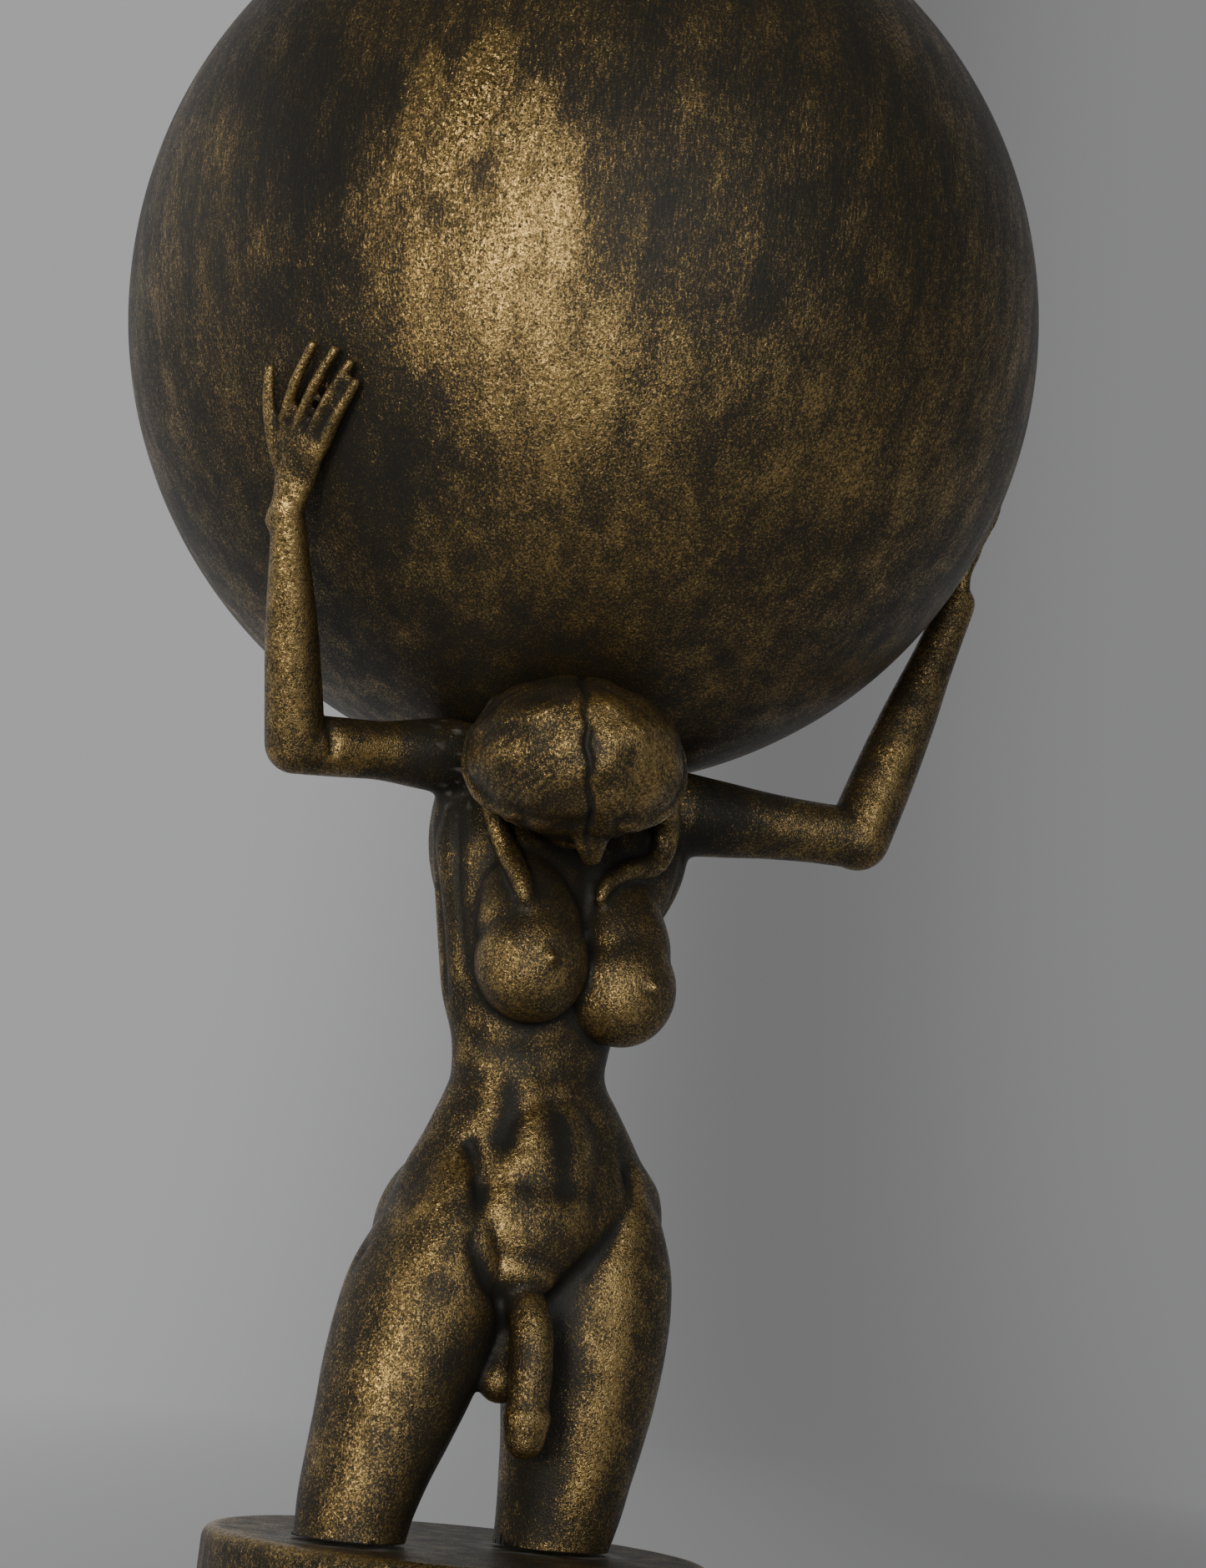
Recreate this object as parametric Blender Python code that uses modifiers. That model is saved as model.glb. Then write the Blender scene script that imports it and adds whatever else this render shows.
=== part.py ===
"""Atlas statue: a nude figure, cut off above the knees, that stands on a round base with its
head bowed and carries a large plain globe on its shoulders, steadied by both raised hands.
Everything is in metres. The base stands on z = 0 and the figure faces -Y."""

import bmesh
import bpy
import numpy as np
from mathutils import Matrix, Vector

MM = 0.001

# Driving dimensions.
BASE_RADIUS = 19.8 * MM
BASE_THICKNESS = 10.0 * MM
BASE_EDGE_ROUND = 1.0 * MM
FIGURE_HEIGHT = 62.1 * MM
GLOBE_RADIUS = 40.0 * MM
GLUE_GAP = 0.3 * MM

# The figure's own measures are in units of its height: a unit is a millimetre at the real size.
UNIT = FIGURE_HEIGHT / 62.1
FIGURE_FOOT = BASE_THICKNESS + GLUE_GAP
GLOBE_CENTRE = np.array([0.0, 0.0, FIGURE_FOOT + FIGURE_HEIGHT + GLUE_GAP + GLOBE_RADIUS])

# The figure is one skin drawn over its overlapping forms, this fine, then thinned.
SKIN_CELL = 0.22 * MM
SKIN_FACES = 7400

# A hand lies on the globe: degrees from the front, degrees up from the globe's lowest point,
# and how far its fingers turn towards the front.
RIGHT_HAND = (65.3, 55.3, 35.0)
LEFT_HAND = (77.0, 74.0, 18.0)

# The bowed head: its middle, half its width, depth and height, and its turn to the right.
HEAD_MIDDLE = (-4.7, -14.4, 59.8)
HEAD_HALF = (8.5, 7.4, 6.3)
HEAD_TURN = -28.5

# Where limbs grow out of the trunk the skin is smoothed further: x, y, z and reach.
SOFT_JOINS = (
    (-6.0, -6.8, 27.0, 4.0), (8.6, -6.8, 28.5, 4.0), (-6.0, 2.0, 24.0, 8.0), (8.0, 2.0, 24.0, 8.0),
    (3.6, -7.6, 19.0, 2.6), (-8.5, -1.5, 59.5, 4.5), (13.5, -1.5, 59.5, 4.5), (-8.0, 1.0, 48.0, 5.0),
    (10.0, 1.0, 48.0, 5.0), (-2.0, -6.0, 60.0, 4.0), (-3.2, -9.0, 48.2, 4.6), (5.4, -9.0, 47.6, 4.6),
    (-1.5, -7.0, 19.0, 2.6),
)

# Carved lines in figure units: half width, depth (a ridge where it is negative), then points.
FRONT_LINES = (
    (0.7, 0.6, (-5.8, -5.8, 29.9), (-5.6, -7.2, 28.1), (-5.4, -7.4, 26.4), (-5.9, -7.6, 24.0),
     (-6.2, -8.3, 21.9), (-5.0, -8.5, 19.7), (-3.3, -7.6, 18.4)),
    (0.9, 0.6, (8.2, -7.1, 29.4), (8.0, -7.1, 27.8), (7.6, -7.5, 26.3), (6.0, -7.9, 24.3),
     (4.2, -8.2, 22.2), (2.5, -8.1, 19.7), (1.4, -8.0, 18.3)),
    (1.3, -0.15, (-4.0, -5.7, 35.2), (-4.6, -6.1, 33.4), (-4.9, -6.2, 31.4)),
    (1.2, 0.2, (-2.7, -5.8, 34.6), (-2.9, -6.2, 32.6), (-3.5, -7.0, 30.6)),
    (1.4, -0.25, (-1.7, -6.9, 35.1), (-1.8, -7.8, 32.7), (-2.4, -8.8, 30.3), (-3.5, -8.3, 28.3),
     (-4.0, -8.5, 26.3), (-4.4, -8.3, 24.4), (-4.5, -8.8, 22.2), (-3.1, -8.5, 20.6)),
    (1.2, 0.2, (0.6, -7.9, 33.4), (0.9, -8.8, 31.1), (1.2, -9.4, 29.2), (1.0, -9.5, 27.0)),
    (1.5, -0.18, (2.2, -8.2, 33.6), (2.4, -9.2, 30.8), (2.5, -9.7, 28.0), (2.0, -9.7, 25.0)),
    (0.9, 0.12, (-5.7, -1.4, 35.7), (-5.2, -4.3, 35.4), (-3.7, -5.7, 35.7), (-1.1, -6.4, 36.0),
     (2.6, -6.6, 36.4), (6.8, -4.3, 37.4)),
    (0.8, 0.15, (-5.8, -4.0, 38.6), (-4.5, -5.3, 37.6), (-3.1, -5.9, 37.5), (-1.0, -6.6, 37.7),
     (1.0, -7.0, 38.5)),
    (1.0, 0.4, (1.2, -6.6, 55.5), (1.2, -7.6, 51.0), (1.2, -8.6, 47.5), (1.2, -8.6, 43.4)),
    (0.4, 0.5, (-21.4, -4.8, 61.6), (-21.3, -5.0, 60.2), (-20.9, -4.9, 58.4)),
)
FLANK_LINES = (
    (0.6, 0.3, (-10.2, -2.2, 57.0), (-9.4, -1.4, 53.8), (-8.9, -1.6, 49.3), (-8.3, -1.8, 45.3),
     (-7.6, -1.6, 42.0)),
    (0.6, 0.35, (-9.8, -3.8, 57.3), (-9.2, -4.2, 54.5), (-8.7, -4.3, 50.4), (-8.1, -4.5, 47.0),
     (-7.4, -4.6, 44.0)),
    (0.9, 0.4, (0.0, 3.6, 17.0), (-3.4, 4.6, 16.2), (-7.8, 4.0, 16.4)),
    (0.8, 0.35, (-12.4, -1.6, 9.0), (-12.0, -1.2, 15.0), (-11.4, -1.2, 21.0)),
)
BACK_LINES = (
    (1.0, 0.7, (2.0, 3.6, 57.0), (1.4, 4.4, 50.0), (0.9, 3.6, 42.0), (0.8, 2.8, 36.0),
     (1.2, 4.4, 30.0), (1.1, 6.0, 26.5)),
    (0.8, 1.3, (1.1, 6.2, 27.5), (0.6, 6.4, 22.0), (-0.2, 4.6, 17.0)),
)
FLANK_MIRROR = 1.2
HAIR_WAVE = 2.6
HAIR_DEPTH = 0.1
PARTING_WIDTH = 0.35
PARTING_DEPTH = 0.5


def clear_scene():
    for obj in list(bpy.data.objects):
        bpy.data.objects.remove(obj, do_unlink=True)


def painted_resin(name, colour, roughness, metallic):
    """A cast resin piece under a coat of paint."""
    material = bpy.data.materials.new(name)
    material.use_nodes = True
    shader = material.node_tree.nodes["Principled BSDF"]
    shader.inputs["Base Color"].default_value = (*colour, 1.0)
    shader.inputs["Roughness"].default_value = roughness
    shader.inputs["Metallic"].default_value = metallic
    return material


def add_object(name, mesh, material, collection):
    obj = bpy.data.objects.new(name, mesh)
    mesh.materials.append(material)
    mesh.shade_smooth()
    collection.objects.link(obj)
    return obj


def spread(rows, per):
    """The rows with per - 1 more between each two, on a Catmull-Rom spline through them."""
    rows = np.asarray(rows, float)
    before = np.vstack([2 * rows[0] - rows[1], rows[:-2]])[:, None]
    after = np.vstack([rows[2:], 2 * rows[-1] - rows[-2]])[:, None]
    start, end = rows[:-1, None], rows[1:, None]
    t = (np.arange(per) / per)[None, :, None]
    curve = (
        (2 * t**3 - 3 * t**2 + 1) * start
        + (t**3 - 2 * t**2 + t) * (end - before) / 2
        + (3 * t**2 - 2 * t**3) * end
        + (t**3 - t**2) * (after - start) / 2
    )
    return np.vstack([curve.reshape(-1, rows.shape[1]), rows[-1:]])


def place(points):
    """Figure units, counted from the middle of the base's top, as metres."""
    return np.asarray(points, float) * UNIT + np.array([0.0, 0.0, BASE_THICKNESS])


def placed(rows):
    """Rows of x, y, z, half width, half thickness in figure units, as metres."""
    rows = np.asarray(rows, float)
    return np.hstack([place(rows[:, :3]), rows[:, 3:] * UNIT])


def add_limb(skin, rows, across=(1.0, 0.0, 0.0), per=4, sides=18, level=False):
    """A limb of elliptical sections square to its path, or level, closed by round ends. Each row
    is x, y, z, half the width along the vector across, and half the thickness, in metres."""
    rows = spread(rows, per)
    centre, half = rows[:, :3], rows[:, 3:]
    along = np.gradient(centre, axis=0)
    along /= np.linalg.norm(along, axis=1)[:, None]
    if level:
        along[:] = (0.0, 0.0, 1.0)
    angle = np.radians([80, 60, 40, 20])[:, None]
    reach = half.min(axis=1)
    centre = np.vstack([
        centre[0] - along[0] * reach[0] * np.sin(angle),
        centre,
        centre[-1] + along[-1] * reach[-1] * np.sin(angle[::-1]),
    ])
    half = np.vstack([half[0] * np.cos(angle), half, half[-1] * np.cos(angle[::-1])])
    along = np.vstack([along[:1]] * 4 + [along] + [along[-1:]] * 4)
    side = np.asarray(across, float) - along * (along @ np.asarray(across, float))[:, None]
    side /= np.linalg.norm(side, axis=1)[:, None]
    front = np.cross(along, side)
    turn = (np.arange(sides) * 2 * np.pi / sides)[None, :, None]
    rings = (
        centre[:, None]
        + side[:, None] * half[:, None, :1] * np.cos(turn)
        + front[:, None] * half[:, None, 1:] * np.sin(turn)
    )
    verts = [[skin.verts.new(p) for p in ring] for ring in rings]
    for lower, upper in zip(verts, verts[1:]):
        for i in range(sides):
            j = (i + 1) % sides
            skin.faces.new((lower[i], lower[j], upper[j], upper[i]))
    skin.faces.new(verts[0][::-1])
    skin.faces.new(verts[-1])


def add_mass(skin, centre, radii, turn=(0.0, 0.0, 0.0)):
    """An ellipsoid in figure units, turned by degrees about X, then Y, then Z."""
    x, y, z = np.radians(turn)
    matrix = (
        Matrix.Translation(Vector(place(centre)))
        @ Matrix.Rotation(z, 4, "Z")
        @ Matrix.Rotation(y, 4, "Y")
        @ Matrix.Rotation(x, 4, "X")
        @ Matrix.Diagonal(Vector((*[r * UNIT for r in radii], 1.0)))
    )
    bmesh.ops.create_uvsphere(skin, u_segments=24, v_segments=14, radius=1.0, matrix=matrix)


def hand_point(hand, side, along, sideways, lift):
    """A point over the globe, in figure units from the palm's middle: along the fingers, towards
    the thumb, and out from the globe. side is 1 for the right hand and -1 for the left."""
    front, up, turn = np.radians(hand)
    out = np.array([-np.sin(up) * np.sin(front), -np.sin(up) * np.cos(front), -np.cos(up)])
    rise = np.array([-np.cos(up) * np.sin(front), -np.cos(up) * np.cos(front), np.sin(up)])
    round_globe = np.array([-np.cos(front), np.sin(front), 0.0])
    fingers = rise * np.cos(turn) - round_globe * np.sin(turn)
    thumb = rise * np.sin(turn) + round_globe * np.cos(turn)
    surface = GLOBE_RADIUS + GLUE_GAP
    away = out * surface + (fingers * along + thumb * sideways) * UNIT
    point = away / np.linalg.norm(away) * (surface + lift * UNIT) * np.array([side, 1.0, 1.0])
    return GLOBE_CENTRE + point


def add_torso(skin):
    add_limb(skin, placed([
        (1.2, -2.2, 19.0, 8.5, 5.8),
        (1.6, -2.2, 22.5, 11.5, 6.8),
        (2.0, -2.2, 25.3, 12.0, 6.8),
        (2.3, -2.1, 28.4, 11.3, 6.3),
        (1.9, -2.1, 30.8, 9.7, 5.7),
        (1.6, -2.2, 32.8, 8.6, 5.2),
        (1.25, -2.2, 34.8, 7.5, 4.8),
        (0.8, -2.2, 36.5, 6.8, 4.6),
        (0.6, -2.2, 39.0, 6.9, 4.9),
        (0.4, -2.2, 42.0, 7.8, 5.5),
        (0.5, -2.2, 45.0, 8.6, 5.9),
        (0.6, -2.2, 48.4, 9.4, 6.0),
        (1.3, -2.1, 51.8, 10.8, 5.8),
        (1.8, -1.9, 55.0, 11.8, 5.4),
        (2.2, -1.6, 58.2, 12.0, 4.9),
        (2.3, -1.4, 61.0, 10.4, 4.2),
    ]), level=True, sides=28)
    add_mass(skin, (0.7, -4.7, 27.4), (5.8, 4.7, 8.8), (-6, 9, 0))
    add_mass(skin, (0.3, -4.9, 24.4), (6.3, 5.2, 5.4))
    add_mass(skin, (-0.6, -5.5, 20.9), (4.1, 3.9, 3.2))
    for side in (-1, 1):
        add_mass(skin, (1.2 + 4.9 * side, 0.9, 23.4), (6.0, 5.2, 7.2), (12, 0, 0))
        add_mass(skin, (1.6 + 7.0 * side, -0.6, 54.5), (4.0, 4.0, 8.0), (0, 10 * side, 0))
        add_mass(skin, (2.0 + 5.6 * side, 1.8, 53.5), (3.6, 2.2, 5.0), (0, -18 * side, 0))


def add_legs(skin):
    add_limb(skin, placed([
        (-11.5, -3.2, -2.0, 4.0, 4.3),
        (-11.0, -3.1, 0.2, 4.1, 4.4),
        (-10.6, -2.9, 3.0, 4.4, 4.8),
        (-9.8, -2.6, 6.0, 4.8, 5.3),
        (-8.9, -2.4, 9.0, 5.3, 5.9),
        (-8.1, -2.3, 12.0, 5.8, 6.4),
        (-7.2, -2.2, 15.4, 6.1, 6.8),
        (-6.5, -2.4, 19.2, 5.9, 6.9),
        (-6.0, -2.8, 23.0, 4.8, 6.1),
        (-5.7, -2.9, 25.6, 4.0, 5.0),
        (-5.5, -2.6, 28.0, 2.9, 3.6),
        (-5.4, -2.2, 29.4, 1.6, 2.0),
    ]))
    add_limb(skin, placed([
        (6.6, -2.5, -2.0, 4.4, 4.4),
        (6.7, -2.5, 0.2, 4.5, 4.5),
        (7.1, -2.7, 3.6, 5.0, 5.0),
        (7.3, -2.8, 6.1, 5.3, 5.4),
        (7.5, -2.9, 8.7, 5.7, 5.8),
        (7.7, -2.9, 11.8, 6.2, 6.3),
        (7.8, -2.8, 15.0, 6.6, 6.8),
        (7.9, -2.7, 19.0, 6.8, 7.0),
        (7.9, -2.8, 23.0, 6.4, 6.5),
        (8.0, -3.2, 26.6, 5.0, 5.2),
        (8.4, -3.2, 29.0, 3.0, 3.6),
        (8.6, -2.8, 30.4, 1.5, 1.8),
    ]))


def add_chest(skin):
    for x, tilt, drop in ((-3.2, -1, 0.0), (5.2, 1, 0.7)):
        add_limb(skin, placed([
            (x + 0.4 * tilt, -4.6, 54.0, 1.9, 1.6),
            (x + 0.2 * tilt, -5.8, 51.0, 3.7, 2.8),
            (x, -6.9, 48.0, 4.5, 3.6),
            (x, -7.5, 46.2 - drop, 4.3, 3.8),
        ]))
        add_mass(skin, (x, -7.9, 44.6 - drop), (4.7, 4.2, 4.8))
        add_mass(skin, (x + 0.6 * tilt, -11.95, 44.4 - drop), (0.55, 0.6, 0.55))


def add_groin(skin):
    add_limb(skin, placed([
        (-0.8, -5.8, 19.8, 1.5, 1.5),
        (-0.8, -8.0, 18.4, 1.6, 1.6),
        (-0.8, -9.4, 16.6, 1.65, 1.65),
        (-0.8, -10.0, 13.6, 1.65, 1.65),
        (-0.8, -10.0, 11.0, 1.6, 1.6),
        (-0.8, -10.0, 10.2, 1.85, 1.85),
        (-0.8, -9.9, 8.6, 1.6, 1.6),
    ]))
    add_limb(skin, placed([
        (-0.6, -5.2, 18.5, 1.9, 1.6),
        (-1.0, -5.9, 14.5, 1.6, 1.5),
        (-1.4, -6.4, 12.5, 1.75, 1.7),
    ]))


def add_arm(skin, side, hand, shoulder, elbow, upper, fore):
    """shoulder and elbow are rows of an arm's own; upper and fore are its half widths along the
    upper arm and the forearm, which runs to the wrist of the hand on the globe."""
    wrist = hand_point(hand, side, -5.6, -0.8, 2.0)
    start, bend = place(shoulder), place(elbow)
    upper = np.asarray(upper) * UNIT
    fore = np.asarray(fore) * UNIT
    share = np.linspace(0, 1, len(upper))[:, None]
    add_limb(skin, np.hstack([start + (bend - start) * share, np.stack([upper, upper], 1)]), (0, 1, 0))
    share = np.linspace(0, 1, len(fore))[:, None]
    add_limb(skin, np.hstack([bend + (wrist - bend) * share, np.stack([fore, fore], 1)]), (0, 1, 0))


def add_hand(skin, side, hand):
    thumb_side = hand_point(hand, side, 0, 1, 1) - hand_point(hand, side, 0, 0, 1)

    def rows(points):
        return [
            (*hand_point(hand, side, a, s, lift), half * UNIT, thick * UNIT)
            for a, s, lift, half, thick in points
        ]

    add_limb(skin, rows([
        (-6.6, -0.6, 2.2, 1.4, 1.3),
        (-5.0, -0.6, 1.7, 1.4, 1.1),
        (-3.0, -0.2, 0.9, 1.9, 0.9),
        (-1.0, 0.0, 0.8, 2.3, 0.8),
        (-0.2, 0.1, 0.7, 2.3, 0.7),
    ]), thumb_side, per=3)
    for root, tip in (
        ((0.2, 1.95), (6.5, 1.5)),
        ((0.5, 0.65), (7.0, -0.45)),
        ((0.3, -0.65), (6.6, -1.95)),
        ((-0.3, -1.85), (5.5, -2.9)),
    ):
        middle = (np.add(root, tip) / 2).tolist()
        add_limb(skin, rows([
            (*root, 0.6, 0.5, 0.6),
            (*middle, 0.75, 0.45, 0.55),
            (*tip, 0.4, 0.4, 0.45),
        ]), thumb_side, per=3, sides=10)
    add_limb(skin, rows([
        (-3.6, 0.6, 0.9, 0.9, 0.8),
        (-1.6, 2.2, 0.8, 0.75, 0.7),
        (0.8, 3.6, 0.7, 0.55, 0.55),
        (3.1, 4.6, 0.4, 0.42, 0.42),
    ]), thumb_side, per=3, sides=10)


def on_head(right, crown, up):
    """A point in figure units, given from the middle of the head towards the figure's left, out
    through the crown, and up. The bowed head is turned, so these are its own directions."""
    turn = np.radians(HEAD_TURN)
    side = np.array([np.cos(turn), np.sin(turn), 0.0])
    out = np.array([np.sin(turn), -np.cos(turn), 0.0])
    return np.array(HEAD_MIDDLE) + side * right + out * crown + np.array([0.0, 0.0, up])


def add_head(skin):
    """The neck comes forward from the shoulders; the crown faces front and the face looks down."""
    add_limb(skin, placed([
        (1.6, -1.2, 59.0, 4.4, 4.0),
        (-0.4, -5.0, 60.0, 3.6, 3.4),
        (-2.2, -9.0, 60.0, 3.4, 3.2),
        (-3.2, -11.5, 60.0, 3.6, 3.4),
    ]), per=3)
    add_mass(skin, HEAD_MIDDLE, HEAD_HALF, (0, 0, HEAD_TURN))
    add_mass(skin, on_head(0.2, -3.4, -1.8), (5.0, 5.4, 4.0), (0, 0, HEAD_TURN))
    add_mass(skin, on_head(0.2, -7.4, -3.6), (1.7, 1.3, 1.5), (0, 0, HEAD_TURN))
    add_mass(skin, on_head(0.2, 0.2, -5.1), (3.6, 1.2, 1.1), (0, 0, HEAD_TURN))
    add_limb(skin, placed([
        (*on_head(1.2, 0.4, -5.2), 1.4, 1.0),
        (*on_head(1.8, -1.0, -6.3), 1.3, 0.9),
        (*on_head(2.0, -2.2, -7.1), 0.9, 0.8),
    ]), per=3, sides=12)
    add_mass(skin, on_head(0.3, -4.4, -5.6), (1.5, 0.8, 0.6), (0, 0, HEAD_TURN))


def add_hair(skin):
    """A roll of hair over each temple, and the locks that fall from it on to the chest."""
    for side in (-1, 1):
        add_limb(skin, placed([
            (*on_head(6.2 * side, 0.4, 3.2), 1.3, 1.2),
            (*on_head(7.6 * side, -1.2, 1.0), 1.2, 1.2),
            (*on_head(7.7 * side, -1.4, -1.3), 1.2, 1.2),
            (*on_head(6.3 * side, -0.4, -3.5), 1.2, 1.1),
            (*on_head(4.2 * side, 1.2, -4.8), 1.0, 1.0),
        ]), per=3, sides=12)
    add_limb(skin, placed([
        (-9.0, -9.0, 58.4, 1.3, 1.1),
        (-7.8, -7.2, 56.8, 1.0, 0.9),
        (-6.9, -6.6, 55.2, 0.9, 0.8),
        (-6.1, -7.5, 53.0, 1.0, 0.9),
        (-5.8, -9.4, 50.7, 0.95, 0.8),
        (-5.7, -10.4, 49.0, 0.7, 0.6),
    ]), per=3, sides=12)
    add_limb(skin, placed([
        (6.4, -10.0, 60.0, 1.4, 1.2),
        (8.4, -7.6, 58.4, 1.2, 1.0),
        (8.8, -6.8, 56.4, 1.1, 0.9),
        (7.6, -7.2, 54.7, 1.0, 0.8),
        (5.4, -7.6, 53.8, 0.9, 0.8),
        (3.6, -8.2, 52.8, 0.8, 0.7),
        (2.4, -8.6, 51.6, 0.7, 0.7),
        (1.9, -8.9, 50.4, 0.5, 0.5),
    ]), per=3, sides=12)


def build_skin():
    skin = bmesh.new()
    add_torso(skin)
    add_legs(skin)
    add_chest(skin)
    add_groin(skin)
    add_head(skin)
    add_hair(skin)
    add_arm(skin, 1, RIGHT_HAND, (-8.4, -2.2, 61.4), (-23.3, -2.5, 59.1),
            (3.4, 2.9, 2.4, 2.4, 2.4), (2.4, 2.25, 2.05, 1.65, 1.25))
    add_hand(skin, 1, RIGHT_HAND)
    add_arm(skin, -1, LEFT_HAND, (12.9, -2.4, 61.0), (28.8, -6.9, 61.4),
            (3.7, 3.3, 2.9, 2.7, 2.7), (2.9, 2.8, 2.5, 2.0, 1.7))
    add_hand(skin, -1, LEFT_HAND)
    mesh = bpy.data.meshes.new("skin")
    skin.to_mesh(mesh)
    skin.free()
    return mesh


def replace_mesh(obj):
    """The object's mesh becomes the one that its modifiers make, and they go."""
    graph = bpy.context.evaluated_depsgraph_get()
    mesh = bpy.data.meshes.new_from_object(obj.evaluated_get(graph))
    obj.modifiers.clear()
    obj.data = mesh


def soften_joins(obj):
    """The skin is smoothed most at the middle of each join and not at all past its reach."""
    points = points_and_normals(obj.data)[0]
    weight = np.zeros(len(points))
    for x, y, z, reach in SOFT_JOINS:
        away = np.linalg.norm(points - place((x, y, z)), axis=1)
        weight = np.maximum(weight, np.clip(2 - 2 * away / (reach * UNIT), 0, 1))
    joins = obj.vertex_groups.new(name="joins")
    for step in range(1, 11):
        part = np.flatnonzero(np.ceil(weight * 10) == step)
        joins.add(part.tolist(), step / 10, "REPLACE")
    smooth = obj.modifiers.new("soft joins", "SMOOTH")
    smooth.factor = 0.5
    smooth.iterations = 60
    smooth.vertex_group = "joins"
    replace_mesh(obj)


def points_and_normals(mesh):
    points = np.empty(len(mesh.vertices) * 3)
    normals = np.empty(len(mesh.vertices) * 3)
    mesh.vertices.foreach_get("co", points)
    mesh.vertices.foreach_get("normal", normals)
    return points.reshape(-1, 3), normals.reshape(-1, 3)


def press_on_globe(points):
    """Points nearer to the globe than the glue gap move straight out to it."""
    away = points - GLOBE_CENTRE
    distance = np.linalg.norm(away, axis=1)[:, None]
    nearest = GLOBE_RADIUS + GLUE_GAP
    return GLOBE_CENTRE + away * np.maximum(distance, nearest) / distance


def carve(points, normals, width, depth, path):
    """A line pushed in along the skin's normals, deepest on the path and fading beside it."""
    path = place(spread(path, 4))
    nearest = np.full(len(points), np.inf)
    for start, end in zip(path, path[1:]):
        step = end - start
        share = np.clip((points - start) @ step / (step @ step), 0, 1)
        nearest = np.minimum(nearest, np.linalg.norm(points - start - share[:, None] * step, axis=1))
    fade = np.exp(-((nearest / (width * UNIT)) ** 2))
    return points - normals * (depth * UNIT * fade)[:, None]


def carve_figure(points, normals):
    for width, depth, *path in FRONT_LINES + FLANK_LINES + BACK_LINES:
        points = carve(points, normals, width, depth, path)
    for width, depth, *path in FLANK_LINES:
        mirrored = [(2 * FLANK_MIRROR - x, y, z) for x, y, z in path]
        points = carve(points, normals, width, depth, mirrored)
    return comb_hair(points, normals)


def comb_hair(points, normals):
    """A wavy parting down the crown, and locks that sweep softly from it to the sides."""
    turn = np.radians(HEAD_TURN)
    side = np.array([np.cos(turn), np.sin(turn), 0.0])
    out = np.array([np.sin(turn), -np.cos(turn), 0.0])
    local = (points - place(HEAD_MIDDLE)) / UNIT
    right, crown, up = local @ side, local @ out, local[:, 2]
    reach = np.sqrt((right / HEAD_HALF[0]) ** 2 + (crown / HEAD_HALF[1]) ** 2 + (up / HEAD_HALF[2]) ** 2)
    on_hair = np.clip((1.25 - np.abs(reach - 1)) * 4 - 4, 0, 1) * np.clip((crown + 3.5) / 2, 0, 1)
    sweep = up + 0.5 * np.abs(right) + 0.03 * right**2
    waves = HAIR_DEPTH * np.cos(2 * np.pi * sweep / HAIR_WAVE)
    wander = 0.15 * (4 - up) + 0.15 * np.sin(2.2 * up)
    parting = PARTING_DEPTH * np.exp(-(((right - wander) / PARTING_WIDTH) ** 2))
    depth = (waves * np.clip(np.abs(right) / 1.5, 0, 1) + parting) * on_hair
    return points - normals * (depth * UNIT)[:, None]


def make_figure(material, collection):
    obj = add_object("figure", build_skin(), material, collection)
    remesh = obj.modifiers.new("one skin", "REMESH")
    remesh.mode = "VOXEL"
    remesh.voxel_size = SKIN_CELL
    smooth = obj.modifiers.new("smooth skin", "SMOOTH")
    smooth.factor = 0.5
    smooth.iterations = 4
    replace_mesh(obj)
    soften_joins(obj)
    mesh = obj.data
    points = press_on_globe(carve_figure(*points_and_normals(mesh)))
    mesh.vertices.foreach_set("co", points.ravel())
    thin = obj.modifiers.new("thinned", "DECIMATE")
    thin.ratio = SKIN_FACES / (2 * len(mesh.polygons))
    thin.use_collapse_triangulate = True
    replace_mesh(obj)
    cut_at_base(obj.data)
    obj.data.shade_smooth()
    return obj


def cut_at_base(mesh):
    """The thighs end flat, a glue gap over the base."""
    cut = bmesh.new()
    cut.from_mesh(mesh)
    everything = cut.verts[:] + cut.edges[:] + cut.faces[:]
    bmesh.ops.bisect_plane(
        cut, geom=everything, plane_co=(0, 0, FIGURE_FOOT), plane_no=(0, 0, 1), clear_inner=True
    )
    rim = [edge for edge in cut.edges if edge.is_boundary]
    bmesh.ops.contextual_create(cut, geom=rim)
    bmesh.ops.triangulate(cut, faces=cut.faces[:])
    bmesh.ops.recalc_face_normals(cut, faces=cut.faces[:])
    cut.to_mesh(mesh)
    cut.free()


def make_globe(material, collection):
    ball = bmesh.new()
    bmesh.ops.create_icosphere(
        ball, subdivisions=4, radius=GLOBE_RADIUS, matrix=Matrix.Translation(Vector(GLOBE_CENTRE))
    )
    mesh = bpy.data.meshes.new("globe")
    ball.to_mesh(mesh)
    ball.free()
    return add_object("globe", mesh, material, collection)


def make_base(material, collection):
    disc = bmesh.new()
    bmesh.ops.create_cone(
        disc, cap_ends=True, segments=64, radius1=BASE_RADIUS, radius2=BASE_RADIUS,
        depth=BASE_THICKNESS, matrix=Matrix.Translation((0, 0, BASE_THICKNESS / 2)),
    )
    mesh = bpy.data.meshes.new("base")
    disc.to_mesh(mesh)
    disc.free()
    obj = add_object("base", mesh, material, collection)
    edge = obj.modifiers.new("rounded edge", "BEVEL")
    edge.width = BASE_EDGE_ROUND
    edge.segments = 3
    edge.limit_method = "ANGLE"
    edge.angle_limit = np.radians(40)
    return obj


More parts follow.
